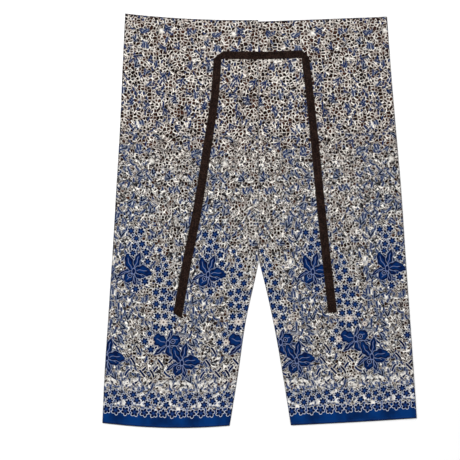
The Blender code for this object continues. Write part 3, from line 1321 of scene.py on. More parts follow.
@dataclass(frozen=True)
class TieCotton(MattFinish):
    """Plain dark brown cotton, with threads that run along the strip."""

    name: str = "tie_cotton"
    brown: Colour = (0.0042, 0.0019, 0.0015, 1.0)
    worn: Colour = (0.027, 0.0138, 0.0102, 1.0)
    thread: float = 0.55

    def material(self) -> bpy.types.Material:
        """Build the material: a fine rib, faded streaks and spots, and a soft weave.

        Returns:
            The material.
        """
        bench = NodeBench(self.name)
        across, along = bench.mapped(PRINT_MAP, MM)
        rib = (across * (tau / self.thread)).sine() * 0.5 + 0.5
        weft = (along * (tau / self.thread)).sine() * 0.5 + 0.5
        streaks = bench.noise(bench.joined(across * 1.6, along * 0.10), 1.0, 3.0, 0.6)
        place = bench.joined(across, along)
        clouds = bench.noise(place, 0.06, 2.0, 0.5)
        spots = bench.noise(place, 0.30, 2.0, 0.6)
        fade = (streaks * 0.5 + clouds * 0.3 + spots * 0.6).ease(0.61, 0.83) * 0.95
        shader = bench.shader.inputs
        bench.feed(shader["Base Color"], bench.painted(self.brown, self.worn, fade))
        bench.feed(shader["Roughness"], rib * 0.08 + 0.80)
        self.dull(bench)
        streaked = bench.bumped(streaks, 0.00025, 0.4)
        woven = rib * 0.7 + weft * 0.3
        bench.feed(shader["Normal"], bench.bumped(woven, 0.00010, 0.6, streaked))
        return bench.material


@dataclass(frozen=True)
class SewingThread:
    """Matt cotton sewing thread of one colour, with a fine twist."""

    name: str
    colour: Colour
    lighter: Colour

    def material(self) -> bpy.types.Material:
        """Build the material: two tones that follow the twist.

        Returns:
            The material.
        """
        bench = NodeBench(self.name)
        shader = bench.shader.inputs
        along, around = bench.mapped(PRINT_MAP, 1.0)
        twist = (along * 40.0 + around * tau).sine() * 0.5 + 0.5
        bench.feed(shader["Base Color"], bench.painted(self.colour, self.lighter, twist * 0.6))
        bench.feed(shader["Roughness"], twist * 0.1 + 0.7)
        bench.feed(shader["Normal"], bench.bumped(twist, 0.00005, 0.5))
        return bench.material


def quads_between(rows: int, columns: int, first: int = 0, flip: bool = False) -> np.ndarray:
    """List the quads of a grid of points.

    Args:
        rows: how many rows of points it has.
        columns: how many points a row has.
        first: the number of its first point.
        flip: whether the faces look the other way.

    Returns:
        The quads, four point numbers each.
    """
    i, j = np.meshgrid(np.arange(rows - 1), np.arange(columns - 1), indexing="ij")
    a = (first + i * columns + j).ravel()
    quads = np.stack((a, a + 1, a + columns + 1, a + columns), axis=1)
    return quads[:, ::-1] if flip else quads


def new_piece(
    name: str, points: np.ndarray, faces: np.ndarray, material: bpy.types.Material
) -> bpy.types.Object:
    """Make an object from points and quads.

    Args:
        name: the piece's name.
        points: its points.
        faces: its quads.
        material: its finish.

    Returns:
        The object, linked to the scene.
    """
    mesh = bpy.data.meshes.new(name)
    mesh.from_pydata(points.tolist(), [], faces.tolist())
    mesh.materials.append(material)
    mesh.shade_smooth()
    piece = bpy.data.objects.new(name, mesh)
    bpy.context.scene.collection.objects.link(piece)
    return piece


def write_map(mesh: bpy.types.Mesh, name: str, corners: np.ndarray) -> None:
    """Give a mesh a UV map from the places of its face corners."""
    layer = mesh.uv_layers.new(name=name)
    layer.uv.foreach_set("vector", corners.astype(np.float32).ravel())


@dataclass
class Leg:
    """One leg: a folded sheet with a turned hem, a turned waist edge and soft seam edges."""

    name: str
    side: Side
    sections: tuple[Section, ...]
    waist: EdgeLine
    hem: EdgeLine
    print_start: float
    flat: tuple[float, float]
    flat_area: float
    cloth: float = 0.0005
    hem_cloth: float = 0.00115
    hem_depth: float = 0.0080
    hem_stitch: float = 0.0052
    waist_depth: float = 0.0100
    waist_stitch: float = 0.0085
    groove: float = 0.00022
    row_pitch: float = 0.0041
    front_steps: int = 56
    roll_steps: int = 8
    back_steps: int = 82
    near_seam: tuple[float, ...] = (
        0.0, 0.0003, 0.0007, 0.0013, 0.0021, 0.0032, 0.0046, 0.0065, 0.0090, 0.0120,
    )
    near_edge: tuple[float, ...] = (
        0.0, 0.0004, 0.0010, 0.0020, 0.0034, 0.0045, 0.0052, 0.0059, 0.0070, 0.0080,
        0.0086, 0.0094, 0.0104, 0.0125, 0.0155,
    )
    pucker: float = 0.00010
    pucker_pitch: float = 0.0093
    pucker_reach: float = 0.0075
    allowance: float = 0.00022
    hem_step: float = 0.00016
    hem_pull: float = 0.00006
    floor_gap: float = 0.00003
    seam_dip: float = 0.00055
    dip_reach: float = 0.0026
    calm_edge: float = 0.012
    calm_fade: float = 0.030
    allowance_start: float = 0.003
    allowance_width: float = 0.009
    allowance_fade: float = 0.004
    groove_width: float = 0.0008
    pull_reach: float = 0.004
    pull_pitch: float = 0.0071
    step_fade: float = 0.0012
    rim_push: float = 0.45
    bake_edge: float = 0.004
    bake_rim: float = 0.0018
    points: np.ndarray = field(init=False, repr=False)
    normals: np.ndarray = field(init=False, repr=False)
    drops: np.ndarray = field(init=False, repr=False)
    from_fold: np.ndarray = field(init=False, repr=False)
    near_edge_mm: np.ndarray = field(init=False, repr=False)

    def widths(self, drop: np.ndarray) -> tuple[np.ndarray, np.ndarray]:
        """Find how far the seam edge and the side fold stand from the centre line.

        Args:
            drop: the levels below the waist.

        Returns:
            The distances of the seam edge and of the side fold.
        """
        outer = through([s.drop for s in self.sections], [s.outer for s in self.sections], drop)
        below = [s for s in self.sections if s.drop >= FORM.rise]
        inner = through([s.drop for s in below], [s.inner for s in below], np.maximum(drop, FORM.rise))
        return np.where(drop <= FORM.rise, 0.0, inner) + FORM.seam_gap / 2, outer

    def level_y(self, drop: np.ndarray, across: np.ndarray) -> np.ndarray:
        """Find the Y of points, so that the levels follow the waist line and the hem line.

        Args:
            drop: the levels below the waist.
            across: the shares of the way from seam to side.

        Returns:
            The Y of the points.
        """
        share = drop / FORM.length
        lift = self.waist.lift(across) * (1 - share) + self.hem.lift(across) * share
        return FORM.waist_y - drop + lift

    def row_drops(self) -> np.ndarray:
        """Place the rows of points: close together at both edges, and even between.

        Returns:
            The rows' distances below the waist.
        """
        near = np.array(self.near_edge)
        start = near[-1]
        steps = int(round((FORM.length - 2 * start) / self.row_pitch))
        even = np.linspace(start, FORM.length - start, steps + 1)
        return np.concatenate((near[:-1], even, (FORM.length - near[:-1])[::-1]))

    def edge_drop(self, from_seam: np.ndarray, height: np.ndarray, closed: np.ndarray) -> np.ndarray:
        """Find how far a layer's outer face bends in at its seam edge.

        Args:
            from_seam: the distances from the seam edge.
            height: the thickness of both layers there.
            closed: 1 where the leg's own layers meet in the seam, 0 where two legs meet.

        Returns:
            The distances that the face bends in by.
        """
        radius = height / 2
        inside = np.clip(1 - from_seam / radius, 0.0, 1.0)
        half_round = (radius - self.floor_gap) * (1 - np.sqrt(1 - inside**2))
        dip = self.seam_dip * (1 - blend(from_seam / self.dip_reach))
        return half_round * closed + dip * (1 - closed)

    def relief(self, x: np.ndarray, y: np.ndarray, from_seam: np.ndarray, drop: np.ndarray) -> np.ndarray:
        """Find the small relief of the back layer: creases, puckers, seam allowance and stitch grooves.

        Args:
            x: the places across the garment.
            y: the places along it.
            from_seam: their distances from the seam edge.
            drop: their distances below the waist.

        Returns:
            The heights that are added along the normal.
        """
        above_hem = FORM.length - drop
        calm = blend((np.minimum(above_hem, drop) - self.calm_edge) / self.calm_fade)
        height = sum(crease.at(x, y) for crease in CREASES) * calm
        along = drop / self.pucker_pitch
        wave = np.sin(tau * along + 0.8 * np.sin(along * 1.7)) * (0.6 + 0.4 * np.sin(along * 0.61 + 1.0))
        wave = wave * np.exp(-((from_seam / self.pucker_reach) ** 2)) * blend(from_seam / 0.002)
        height = height + self.pucker * wave
        beyond = blend((from_seam - self.allowance_width) / self.allowance_fade)
        height = height + self.allowance * blend(from_seam / self.allowance_start) * (1 - beyond)
        for place, stitch in ((above_hem, self.hem_stitch), (drop, self.waist_stitch)):
            height = height - self.groove * np.exp(-(((place - stitch) / self.groove_width) ** 2))
            near = np.exp(-(((place - stitch * 0.5) / self.pull_reach) ** 2))
            pull = np.sin(tau * x / self.pull_pitch + np.sin(x * 211.0))
            height = height + self.hem_pull * pull * near
        for place, depth in ((above_hem, self.hem_depth), (drop, self.waist_depth)):
            height = height - self.hem_step * blend((place - depth) / self.step_fade)
        return height

    def columns(self, flat_width: np.ndarray, steps: int) -> np.ndarray:
        """Place one layer's columns: close together at the seam, and even from there to the roll.

        Args:
            flat_width: how far the roll is from the seam edge, level by level.
            steps: how many even steps there are.

        Returns:
            The columns' distances from the seam edge, one row for each level.
        """
        near = np.array(self.near_seam)
        even = np.linspace(0, 1, steps + 1)[None, 1:]
        close = np.broadcast_to(near, (len(flat_width), len(near)))
        return np.concatenate((close, near[-1] + (flat_width - near[-1]) * even), axis=1)

    def shape(self) -> None:
        """Work out the grid of points of the cloth's outer face, and its normals."""
        drop = self.row_drops()[:, None]
        inner, outer = self.widths(drop)
        radius = FORM.fold_radius
        turn = outer - radius
        flat_width = turn - inner
        front = self.columns(flat_width, self.front_steps)
        back = self.columns(flat_width, self.back_steps)[:, ::-1]
        angle = np.linspace(-pi / 2, pi / 2, self.roll_steps + 1)[None, 1:-1]
        x_roll = turn + radius * np.cos(angle)
        x = np.concatenate((inner + front, x_roll, inner + back), axis=1)
        y = self.level_y(drop, (x - inner) / (outer - inner))
        self.drops = np.broadcast_to(drop, x.shape)
        on_front = slice(0, front.shape[1])
        on_roll = slice(on_front.stop, on_front.stop + x_roll.shape[1])
        on_back = slice(on_roll.stop, None)

        side = self.side.value
        closed = blend((drop - FORM.rise + self.calm_edge) / self.calm_fade)
        bottom = np.broadcast_to(2 * FORM.layer + FORM.seam_gap, front.shape)
        top = FORM.back_height(side * x[:, on_back], y[:, on_back], turn - x[:, on_back])
        z_front = self.edge_drop(front, bottom, closed)
        z_roll = radius * (1 + np.sin(angle)) + np.zeros_like(x_roll)
        z = np.concatenate((z_front, z_roll, top - self.edge_drop(back, top, closed)), axis=1)
        from_seam = np.concatenate((front, flat_width + np.zeros_like(x_roll), back), axis=1)

        points = np.stack((side * x, y, z), axis=-1)
        height = np.zeros_like(x)
        for part in (on_roll, on_back):
            place = (side * x[:, part], y[:, part], from_seam[:, part], self.drops[:, part])
            height[:, part] = self.relief(*place)
        height[:, on_roll] *= np.linspace(0, 1, x_roll.shape[1])
        self.points = points + grid_normals(points) * side * height[..., None]
        self.normals = grid_normals(self.points) * side
        quarter = radius * pi / 2
        self.from_fold = np.concatenate(
            (
                x[:, on_front] - turn - quarter,
                radius * angle + np.zeros_like(x_roll),
                turn - x[:, on_back] + quarter,
            ),
            axis=1,
        )
        # How far each point is from the side fold, the seam edges, the waist and the hem, in mm: how far the
        # painted edge shade reaches.
        open_seam = blend((self.drops - FORM.rise) / 0.01)
        nearest = np.minimum(np.abs(self.from_fold) * 0.55, from_seam * (3.0 - 1.8 * open_seam))
        self.near_edge_mm = np.minimum(nearest, np.minimum(self.drops, FORM.length - self.drops)) * MM

    def thickness(self) -> np.ndarray:
        """Give the cloth's thickness at each point: thicker at the turned hem and waist edge.

        Returns:
            The thicknesses.
        """
        above_hem = FORM.length - self.drops
        hem = 1 - blend((above_hem - self.hem_depth) / self.step_fade)
        waist = 1 - blend((self.drops - self.waist_depth) / self.step_fade)
        return self.cloth + (self.hem_cloth - self.cloth) * np.maximum(hem, waist)

    def outline(self) -> np.ndarray:
        """List the grid's border points in order round it.

        Returns:
            The points' numbers.
        """
        rows, columns = self.points.shape[:2]
        waist = np.arange(columns)
        back = np.arange(1, rows) * columns + columns - 1
        hem = (rows - 1) * columns + np.arange(columns - 2, -1, -1)
        front = np.arange(rows - 2, 0, -1) * columns
        return np.concatenate((waist, back, hem, front))

    def shell_points(self, outline: np.ndarray) -> np.ndarray:
        """Set a second layer of points inside the cloth's outer face, and a rim between the two.

        Args:
            outline: the grid's border points in order.

        Returns:
            The outer points, the inner ones and the rim's.
        """
        rows, columns = self.points.shape[:2]
        thick = self.thickness().reshape(-1, 1)
        outer = self.points.reshape(-1, 3)
        inner = outer - self.normals.reshape(-1, 3) * thick
        push = np.zeros((len(outline), 3))
        push[outline >= (rows - 1) * columns, 1] = -self.rim_push
        push[outline < columns, 1] = self.rim_push
        rim = (outer[outline] + inner[outline]) / 2 + push * thick[outline]
        return np.concatenate((outer, inner, rim))

    def shell_faces(self, outline: np.ndarray) -> np.ndarray:
        """List the quads of the outer side, the inner side and the rim between them.

        Args:
            outline: the grid's border points in order.

        Returns:
            The quads, four point numbers each.
        """
        rows, columns = self.points.shape[:2]
        count = rows * columns
        right = self.side is Side.RIGHT
        outer = quads_between(rows, columns, flip=not right)
        inner = quads_between(rows, columns, first=count, flip=right)
        after = np.roll(outline, -1)
        rim = np.arange(len(outline)) + 2 * count
        rim_after = np.roll(rim, -1)
        outer_rim = np.stack((after, outline, rim, rim_after), axis=1)
        inner_rim = np.stack((rim_after, rim, outline + count, after + count), axis=1)
        rims = np.concatenate((outer_rim, inner_rim))
        return np.concatenate((outer, inner, rims if right else rims[:, ::-1]))

    def bake_places(self, faces: np.ndarray, outline: np.ndarray) -> np.ndarray:
        """Lay the faces out on one square: the outer side large, the inner side in a strip beside it.

        Args:
            faces: the quads.
            outline: the border points in order.

        Returns:
            The place of each face corner.
        """
        edge = self.bake_edge
        low, high = self.from_fold.min(), self.from_fold.max()
        scale = (1 - 2 * edge) / FORM.length
        cloth = np.stack((self.from_fold - low, FORM.length - self.drops), axis=-1)
        outer = cloth.reshape(-1, 2) * scale + edge
        start = outer[:, 0].max() + 4 * edge
        inner = outer.copy()
        inner[:, 0] = start + (outer[:, 0] - edge) * (1 - edge - start) / ((high - low) * scale)
        border = outer[outline]
        near_side = np.abs(border[:, 0] - outer[:, 0].min()) < 1e-6
        far_side = np.abs(border[:, 0] - outer[:, 0].max()) < 1e-6
        at_end = ~(near_side | far_side)
        push = np.zeros_like(border)
        push[near_side, 0] = -self.bake_rim
        push[far_side, 0] = self.bake_rim
        push[at_end, 1] = np.sign(border[at_end, 1] - 0.5) * self.bake_rim
        corners = np.concatenate((outer, inner, border + push))[faces.ravel()].reshape(-1, 4, 2)
        inner_rim = slice(len(faces) - len(outline), None)
        on_rim = faces[inner_rim] - 2 * self.drops.size
        moved = (inner[outline] + push)[np.maximum(on_rim, 0)]
        corners[inner_rim] = np.where(on_rim[..., None] >= 0, moved, corners[inner_rim])
        return corners.reshape(-1, 2)

    def dress(self, mesh: bpy.types.Mesh, faces: np.ndarray, outline: np.ndarray) -> None:
        """Give the shell its two maps and its motifs, and mark its reverse side and its edges.

        Args:
            mesh: the shell's mesh.
            faces: its quads.
            outline: the border points in order.
        """
        across = self.print_start - self.side.value * self.from_fold
        cloth = np.stack((across, FORM.length - self.drops), axis=-1).reshape(-1, 2)
        corners = np.concatenate((cloth, cloth, cloth[outline]))[faces.ravel()]
        write_map(mesh, PRINT_MAP, corners)
        write_map(mesh, BAKE_MAP, self.bake_places(faces, outline))
        mesh.uv_layers[PRINT_MAP].active_render = True
        write_motifs(mesh, corners * MM)
        one_side = len(faces) // 2 - len(outline)
        flags = np.zeros(len(faces), np.float32)
        flags[one_side:2 * one_side] = 1.0
        mesh.attributes.new(REVERSE, "FLOAT", "FACE").data.foreach_set("value", flags)
        nearness = self.near_edge_mm.astype(np.float32).ravel()
        nearness = np.concatenate((nearness, nearness + np.float32(MM), nearness[outline]))
        mesh.attributes.new(NEAR_EDGE, "FLOAT", "POINT").data.foreach_set("value", nearness)

    def build(self, material: bpy.types.Material) -> bpy.types.Object:
        """Build the leg as one closed thin shell.

        Args:
            material: the printed cotton.

        Returns:
            The piece.
        """
        self.shape()
        outline = self.outline()
        faces = self.shell_faces(outline)
        piece = new_piece(self.name, self.shell_points(outline), faces, material)
        self.dress(piece.data, faces, outline)
        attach(piece, BODY)
        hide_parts(self.name.removesuffix("_cloth"))
        return piece

    def stitch_line(self, drop: float) -> tuple[np.ndarray, np.ndarray]:
        """Take the row of the back layer on which a line of stitches runs.

        Args:
            drop: its distance below the waist.

        Returns:
            Its points and normals, from the seam to the side fold.
        """
        row = int(np.abs(self.drops[:, 0] - drop).argmin())
        first = self.points.shape[1] - self.back_steps - 6
        return self.points[row, first:][::-1], self.normals[row, first:][::-1]


LEFT_LEG = Leg(
    name="leg_left_cloth",
    side=Side.LEFT,
    sections=(
        Section(0.000, 0.0000, 0.3168),
        Section(0.130, 0.0000, 0.3212),
        Section(0.275, 0.0000, 0.3255),
        Section(0.415, 0.0000, 0.3320),
        Section(0.571, 0.0000, 0.3390),
        Section(0.625, 0.0120, 0.3420),
        Section(0.695, 0.0280, 0.3455),
        Section(0.830, 0.0490, 0.3525),
        Section(0.943, 0.0675, 0.3560),
    ),
    waist=EdgeLine(at_seam=0.0032, at_side=0.0190, sag=0.0052),
    hem=EdgeLine(at_seam=0.0000, at_side=0.0060, sag=0.0080),
    print_start=0.0,
    flat=(0.680, 0.965),
    flat_area=0.613,
)
RIGHT_LEG = Leg(
    name="leg_right_cloth",
    side=Side.RIGHT,
    sections=(
        Section(0.000, 0.0000, 0.3067),
        Section(0.130, 0.0000, 0.3135),
        Section(0.275, 0.0000, 0.3225),
        Section(0.415, 0.0000, 0.3315),
        Section(0.571, 0.0000, 0.3385),
        Section(0.625, 0.0135, 0.3410),
        Section(0.695, 0.0290, 0.3445),
        Section(0.830, 0.0530, 0.3510),
        Section(0.943, 0.0705, 0.3560),
    ),
    waist=EdgeLine(at_seam=-0.0008, at_side=0.0112, sag=0.0000),
    hem=EdgeLine(at_seam=0.0005, at_side=0.0165, sag=0.0010),
    print_start=0.098,
    flat=(0.680, 0.962),
    flat_area=0.601,
)


@dataclass(frozen=True)
class TieCorner:
    """A folded corner of the tie: its inner point, and how far its top outer point leans over."""

    x: float
    drop: float
    lean: float


@dataclass(frozen=True)
class TiePoint:
    """A point on the middle line of a free end of the tie, and the strip's width there."""

    x: float
    drop: float
    width: float


@dataclass(frozen=True)
class TieRun:
    """One free end of the tie with the corner above it."""

    side: Side
    corner: TieCorner
    points: tuple[TiePoint, ...]
    slant: float

    def ways(self, lean: float) -> tuple[np.ndarray, np.ndarray]:
        """Give the ways along the free end and outward from it, where it leans by a slope."""
        down = np.array((lean, 1.0)) / np.hypot(lean, 1.0)
        return down, np.array((down[1], -down[0])) * self.side.value


LEFT_RUN = TieRun(
    side=Side.LEFT,
    corner=TieCorner(x=-0.0876, drop=0.0915, lean=0.0040),
    points=(
        TiePoint(-0.0966, 0.0930, 0.0188),
        TiePoint(-0.1014, 0.1670, 0.0190),
        TiePoint(-0.1213, 0.3105, 0.0196),
        TiePoint(-0.1429, 0.4518, 0.0203),
        TiePoint(-0.1695, 0.5911, 0.0209),
        TiePoint(-0.1873, 0.6960, 0.0211),
    ),
    slant=0.0042,
)
RIGHT_RUN = TieRun(
    side=Side.RIGHT,
    corner=TieCorner(x=0.1021, drop=0.0891, lean=0.0007),
    points=(
        TiePoint(0.1112, 0.0900, 0.0185),
        TiePoint(0.1196, 0.1670, 0.0185),
        TiePoint(0.1329, 0.3105, 0.0190),
        TiePoint(0.1449, 0.4518, 0.0195),
        TiePoint(0.1581, 0.5911, 0.0200),
        TiePoint(0.1681, 0.6885, 0.0205),
    ),
    slant=0.0005,
)


@dataclass
class Tie:
    """The tie: a folded strip that turns over at two mitred corners, with rounded edges."""

    name: str = "tie_strip"
    top_width: float = 0.0185
    top_dip: float = 0.0022
    cloth: float = 0.00120
    lift: float = 0.00030
    roll_gap: float = 0.00015
    turn_step: float = 0.0012
    come_down: float = 0.016
    row_pitch: float = 0.0033
    fan_rows: int = 8
    roll_rows: int = 8
    flat: tuple[float, float] = (0.019, 1.42)
    near_edge: tuple[float, ...] = (
        0.0, 0.00012, 0.00035, 0.0007, 0.0012, 0.0016, 0.0020, 0.0028, 0.0042, 0.0062,
    )
    near_end: tuple[float, ...] = (0.0, 0.0003, 0.0008, 0.0016)
    cut_reach: float = 0.012
    first_row: float = 0.003
    last_row: float = 0.004
    corner_clear: float = 0.002
    mitre_step: float = 0.0008
    round_off: float = 0.0007
    stitch_in: float = 0.0018
    groove_width: float = 0.0006
    groove_share: float = 0.22
    crown_share: float = 0.12
    crown_reach: float = 0.006
    upper: np.ndarray = field(init=False, repr=False)
    upper_normals: np.ndarray = field(init=False, repr=False)

    def shares(self) -> np.ndarray:
        """Place the lines along the strip, as shares of its width from one edge to the other."""
        near = np.array(self.near_edge) / self.top_width
        return np.concatenate((near, [0.5], (1 - near)[::-1]))

    def run_rows(self, run: TieRun) -> list[tuple[np.ndarray, float]]:
        """List the rows of a free end, from its cut end up to the corner.

        Args:
            run: the free end.

        Returns:
            For each row its points from the outer edge to the inner one, as x and drop, and how
            far the strip is raised there by the corner below it.
        """
        drops = [p.drop for p in run.points]
        xs = [p.x for p in run.points]
        widths = [p.width for p in run.points]
        shares = self.shares()
        rows = []
        count = int((drops[-1] - drops[0]) / self.row_pitch)
        even = np.linspace(drops[-1] - self.last_row, drops[0] + self.first_row, count)
        places = np.concatenate((drops[-1] - np.array(self.near_end), even))
        for drop in places:
            x = float(through(drops, xs, drop))
            lean = (x - float(through(drops, xs, drop - self.row_pitch))) / self.row_pitch
            down, out = run.ways(lean)
            half = float(through(drops, widths, drop)) / 2
            cut = run.slant * float(blend(1 - (drops[-1] - drop) / self.cut_reach))
            middle = np.array((x, drop))
            outer = middle + out * half - down * cut
            inner = middle - out * half + down * cut
            row = outer + (inner - outer) * shares[:, None]
            from_corner = drop - run.corner.drop - self.corner_clear
            rows.append((row, float(1 - blend(from_corner / self.come_down))))
        return rows

    def corner_rows(self, run: TieRun) -> tuple[np.ndarray, np.ndarray, np.ndarray]:
        """Find the three rows that make a mitred corner.

        Args:
            run: the free end below the corner.

        Returns:
            The last square row of the free end, the row on the fold, and the first square row of
            the top run, each from the free end's outer edge to its inner one.
        """
        side = run.side.value
        corner = run.corner
        first, second = run.points[:2]
        lean = (second.x - first.x) / (second.drop - first.drop)
        down, out = run.ways(lean)
        pivot = np.array((corner.x, corner.drop))
        below = pivot + down * self.turn_step
        beside = pivot - np.array((side * self.turn_step, 0.0))
        top = pivot + np.array((corner.lean, -self.top_width))
        low = below + out * first.width
        shares = self.shares()[:, None]
        square = low + (below - low) * shares
        fold = low + (top - low) * shares
        above = np.array((beside[0] + corner.lean - side * self.mitre_step, top[1]))
        across = beside + (above - beside) * shares
        return square, fold, across

    def strip(self) -> np.ndarray:
        """Lay the strip's middle surface from the left cut end round to the right one.

        Returns:
            The rows of points.
        """
        left = self.half(LEFT_RUN)
        right = self.half(RIGHT_RUN)
        _, _, left_top = self.corner_rows(LEFT_RUN)
        _, _, right_top = self.corner_rows(RIGHT_RUN)
        count = int((right_top[:, 0].mean() - left_top[:, 0].mean()) / self.row_pitch)
        top_rows = []
        for share in np.linspace(0, 1, count)[1:-1]:
            row = left_top * (1 - share) + right_top * share
            row[:, 1] += self.top_dip * 4 * share * (1 - share)
            top_rows.append(self.lifted(row, 0.0))
        return np.array(left + top_rows + right[::-1])

    def lifted(self, row: np.ndarray, raised: float) -> np.ndarray:
        """Set a row on the cloth below it, raised by a share of one turn of the strip.

        Args:
            row: the row's points, as x and drop.
            raised: how much of a turn it is raised by.

        Returns:
            The row's points in space.
        """
        y = FORM.waist_y - row[:, 1]
        base = FORM.back_height(row[:, 0], y, np.full(len(row), FORM.ripple_fade))
        z = base + self.lift + self.cloth / 2 + raised * (self.cloth + self.roll_gap)
        return np.stack((row[:, 0], y, z), axis=-1)

    def half(self, run: TieRun) -> list[np.ndarray]:
        """Lay one free end and its corner, up to the first square row of the top run.

        Args:
            run: the free end.

        Returns:
            The rows of points.
        """
        rows = [self.lifted(row, raised) for row, raised in self.run_rows(run)]
        square, fold, across = self.corner_rows(run)
        high = self.lifted(fold, 1.0)
        low = self.lifted(fold, 0.0)
        line = unit(high[-1] - high[0])
        outward = unit(np.cross(line, (0, 0, 1.0))) * run.side.value
        radius = (self.cloth + self.roll_gap) / 2
        inset = radius + self.cloth / 2
        start = self.lifted(square, 1.0)
        end = self.lifted(across, 0.0)
        for share in np.linspace(0, 1, self.fan_rows):
            rows.append(start * (1 - share) + (high - outward * inset) * share)
        middle = (high + low) / 2 - outward * inset
        for angle in np.linspace(0, pi, self.roll_rows + 2)[1:-1]:
            rows.append(middle + outward * radius * sin(angle) + np.array((0, 0, radius * cos(angle))))
        for share in np.linspace(0, 1, self.fan_rows):
            rows.append((low - outward * inset) * (1 - share) + end * share)
        return rows

    def half_thickness(self) -> np.ndarray:
        """Give half the strip's thickness along its lines: round edges and two sewn grooves.

        Returns:
            Half the thickness at each line.
        """
        place = self.shares() * self.top_width
        from_edge = np.minimum(place, self.top_width - place)
        inside = np.clip(1 - from_edge / self.round_off, 0.0, 1.0)
        body = np.sqrt(1 - inside**2)
        groove = self.groove_share * np.exp(-(((from_edge - self.stitch_in) / self.groove_width) ** 2))
        crown = 1 - self.crown_share + self.crown_share * blend(from_edge / self.crown_reach)
        return self.cloth / 2 * (body * crown - groove)

    def build(self, material: bpy.types.Material) -> bpy.types.Object:
        """Build the strip as one closed shell.

        Args:
            material: the tie's cotton.

        Returns:
            The piece.
        """
        middle = self.strip()
        normals = grid_normals(middle)
        half = np.broadcast_to(self.half_thickness(), middle.shape[:2]).copy()
        rows, lines = middle.shape[:2]
        for end, step in ((0, 1), (rows - 1, -1)):
            run = np.linalg.norm(middle[:, lines // 2] - middle[end, lines // 2], axis=1)
            inside = np.clip(1 - run / self.round_off, 0.0, 1.0)
            near = (np.arange(rows) - end) * step <= 6
            half[near] *= np.sqrt(1 - inside[near] ** 2)[:, None]
        above = middle + normals * half[..., None]
        below = middle - normals * half[..., None]
        ring = np.concatenate((above, below[:, -2:0:-1]), axis=1)
        around = ring.shape[1]
        i, j = np.meshgrid(np.arange(rows - 1), np.arange(around), indexing="ij")
        a = i * around + j
        b = i * around + (j + 1) % around
        faces = np.stack((a, b, b + around, a + around), axis=-1).reshape(-1, 4)
        piece = new_piece(self.name, ring.reshape(-1, 3), faces, material)
        mesh = piece.data

        length = run_length(middle[:, lines // 2])
        shares = self.shares() * self.top_width
        across = np.concatenate((shares, 2 * self.top_width - shares[-2:0:-1], [2 * self.top_width]))
        ring_corners = ((0, 0), (1, 0), (1, 1), (0, 1))
        corners = [np.stack((across[j + aside], length[i + on]), axis=-1) for aside, on in ring_corners]
        write_map(mesh, PRINT_MAP, np.stack(corners, axis=2).reshape(-1, 2))
        facing = np.where(normals[..., 2:] > 0, 1.0, -1.0)
        self.upper = np.where(facing > 0, above, below)
        self.upper_normals = normals * facing

        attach(piece, BODY)
        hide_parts("tie")
        return piece


@dataclass(frozen=True)
class StitchRow:
    """A kind of running stitch: its pitch, the gap between stitches, and the thread's thickness."""

    pitch: float = 0.0030
    gap: float = 0.0005
    thread: float = 0.00032
    stand: float = 0.35
    sink: float = 0.85
    taper: float = 0.35
    sides: int = 5
    steps: int = 4

    def lay(self, path: np.ndarray, normals: np.ndarray) -> tuple[np.ndarray, np.ndarray, np.ndarray]:
        """Lay stitches one after another along a path.

        Args:
            path: the points of the path.
            normals: the cloth's normals there.

        Returns:
            The stitches' points, their quads, and the points' places along and round the thread.
        """
        length = run_length(path)
        count = max(int(length[-1] / self.pitch), 1)
        starts = (np.arange(count) + 0.5 * self.gap / self.pitch) * self.pitch
        share = np.linspace(0, 1, self.steps + 1)
        places = starts[:, None] + share[None, :] * (self.pitch - self.gap)
        centre = np.stack([np.interp(places, length, path[:, k]) for k in range(3)], axis=-1)
        up = unit(np.stack([np.interp(places, length, normals[:, k]) for k in range(3)], axis=-1))
        ends = (share - 0.5) ** 2 * 4
        centre = centre + up * (self.thread * self.stand - ends[None, :, None] * self.thread * self.sink)
        forward = unit(np.gradient(centre, axis=1))
        aside = unit(np.cross(forward, up))
        angle = (np.arange(self.sides) / self.sides * tau)[:, None]
        ring = aside[:, :, None] * np.cos(angle) + up[:, :, None] * np.sin(angle)
        radius = self.thread / 2 * (1 - self.taper * ends)
        points = centre[:, :, None] + ring * radius[None, :, None, None]
        per = (self.steps + 1) * self.sides
        i, j = np.meshgrid(np.arange(self.steps), np.arange(self.sides), indexing="ij")
        a = (i * self.sides + j).ravel()
        b = (i * self.sides + (j + 1) % self.sides).ravel()
        one = np.stack((a, a + self.sides, b + self.sides, b), axis=1)
        faces = (one[None] + np.arange(count)[:, None, None] * per).reshape(-1, 4)
        round_thread = np.broadcast_to(np.arange(self.sides) / self.sides, points.shape[:3])
        along = np.broadcast_to((places * MM)[:, :, None], points.shape[:3])
        return points.reshape(-1, 3), faces, np.stack((along, round_thread), axis=-1).reshape(-1, 2)


@dataclass
class Stitching:
    """The lines of stitches of one kind of thread, joined into one piece."""

    name: str
    thread: SewingThread
    slot: str
    row: StitchRow = StitchRow()
    lines: list[tuple[np.ndarray, np.ndarray]] = field(default_factory=list)

    def add(self, path: np.ndarray, normals: np.ndarray) -> None:
        """Add one line of stitches."""
        self.lines.append((path, normals))

    def build(self) -> bpy.types.Object:
        """Build all lines as one mesh; each stitch's ends sink into the cloth.

        Returns:
            The piece.
        """
        points, faces, places = [], [], []
        first = 0
        for path, normals in self.lines:
            some_points, some_faces, some_places = self.row.lay(path, normals)
            points.append(some_points)
            faces.append(some_faces + first)
            places.append(some_places)
            first += len(some_points)
        all_faces = np.concatenate(faces)
        piece = new_piece(self.name, np.concatenate(points), all_faces, self.thread.material())
        write_map(piece.data, PRINT_MAP, np.concatenate(places)[all_faces.ravel()])
        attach(piece, BODY)
        return piece


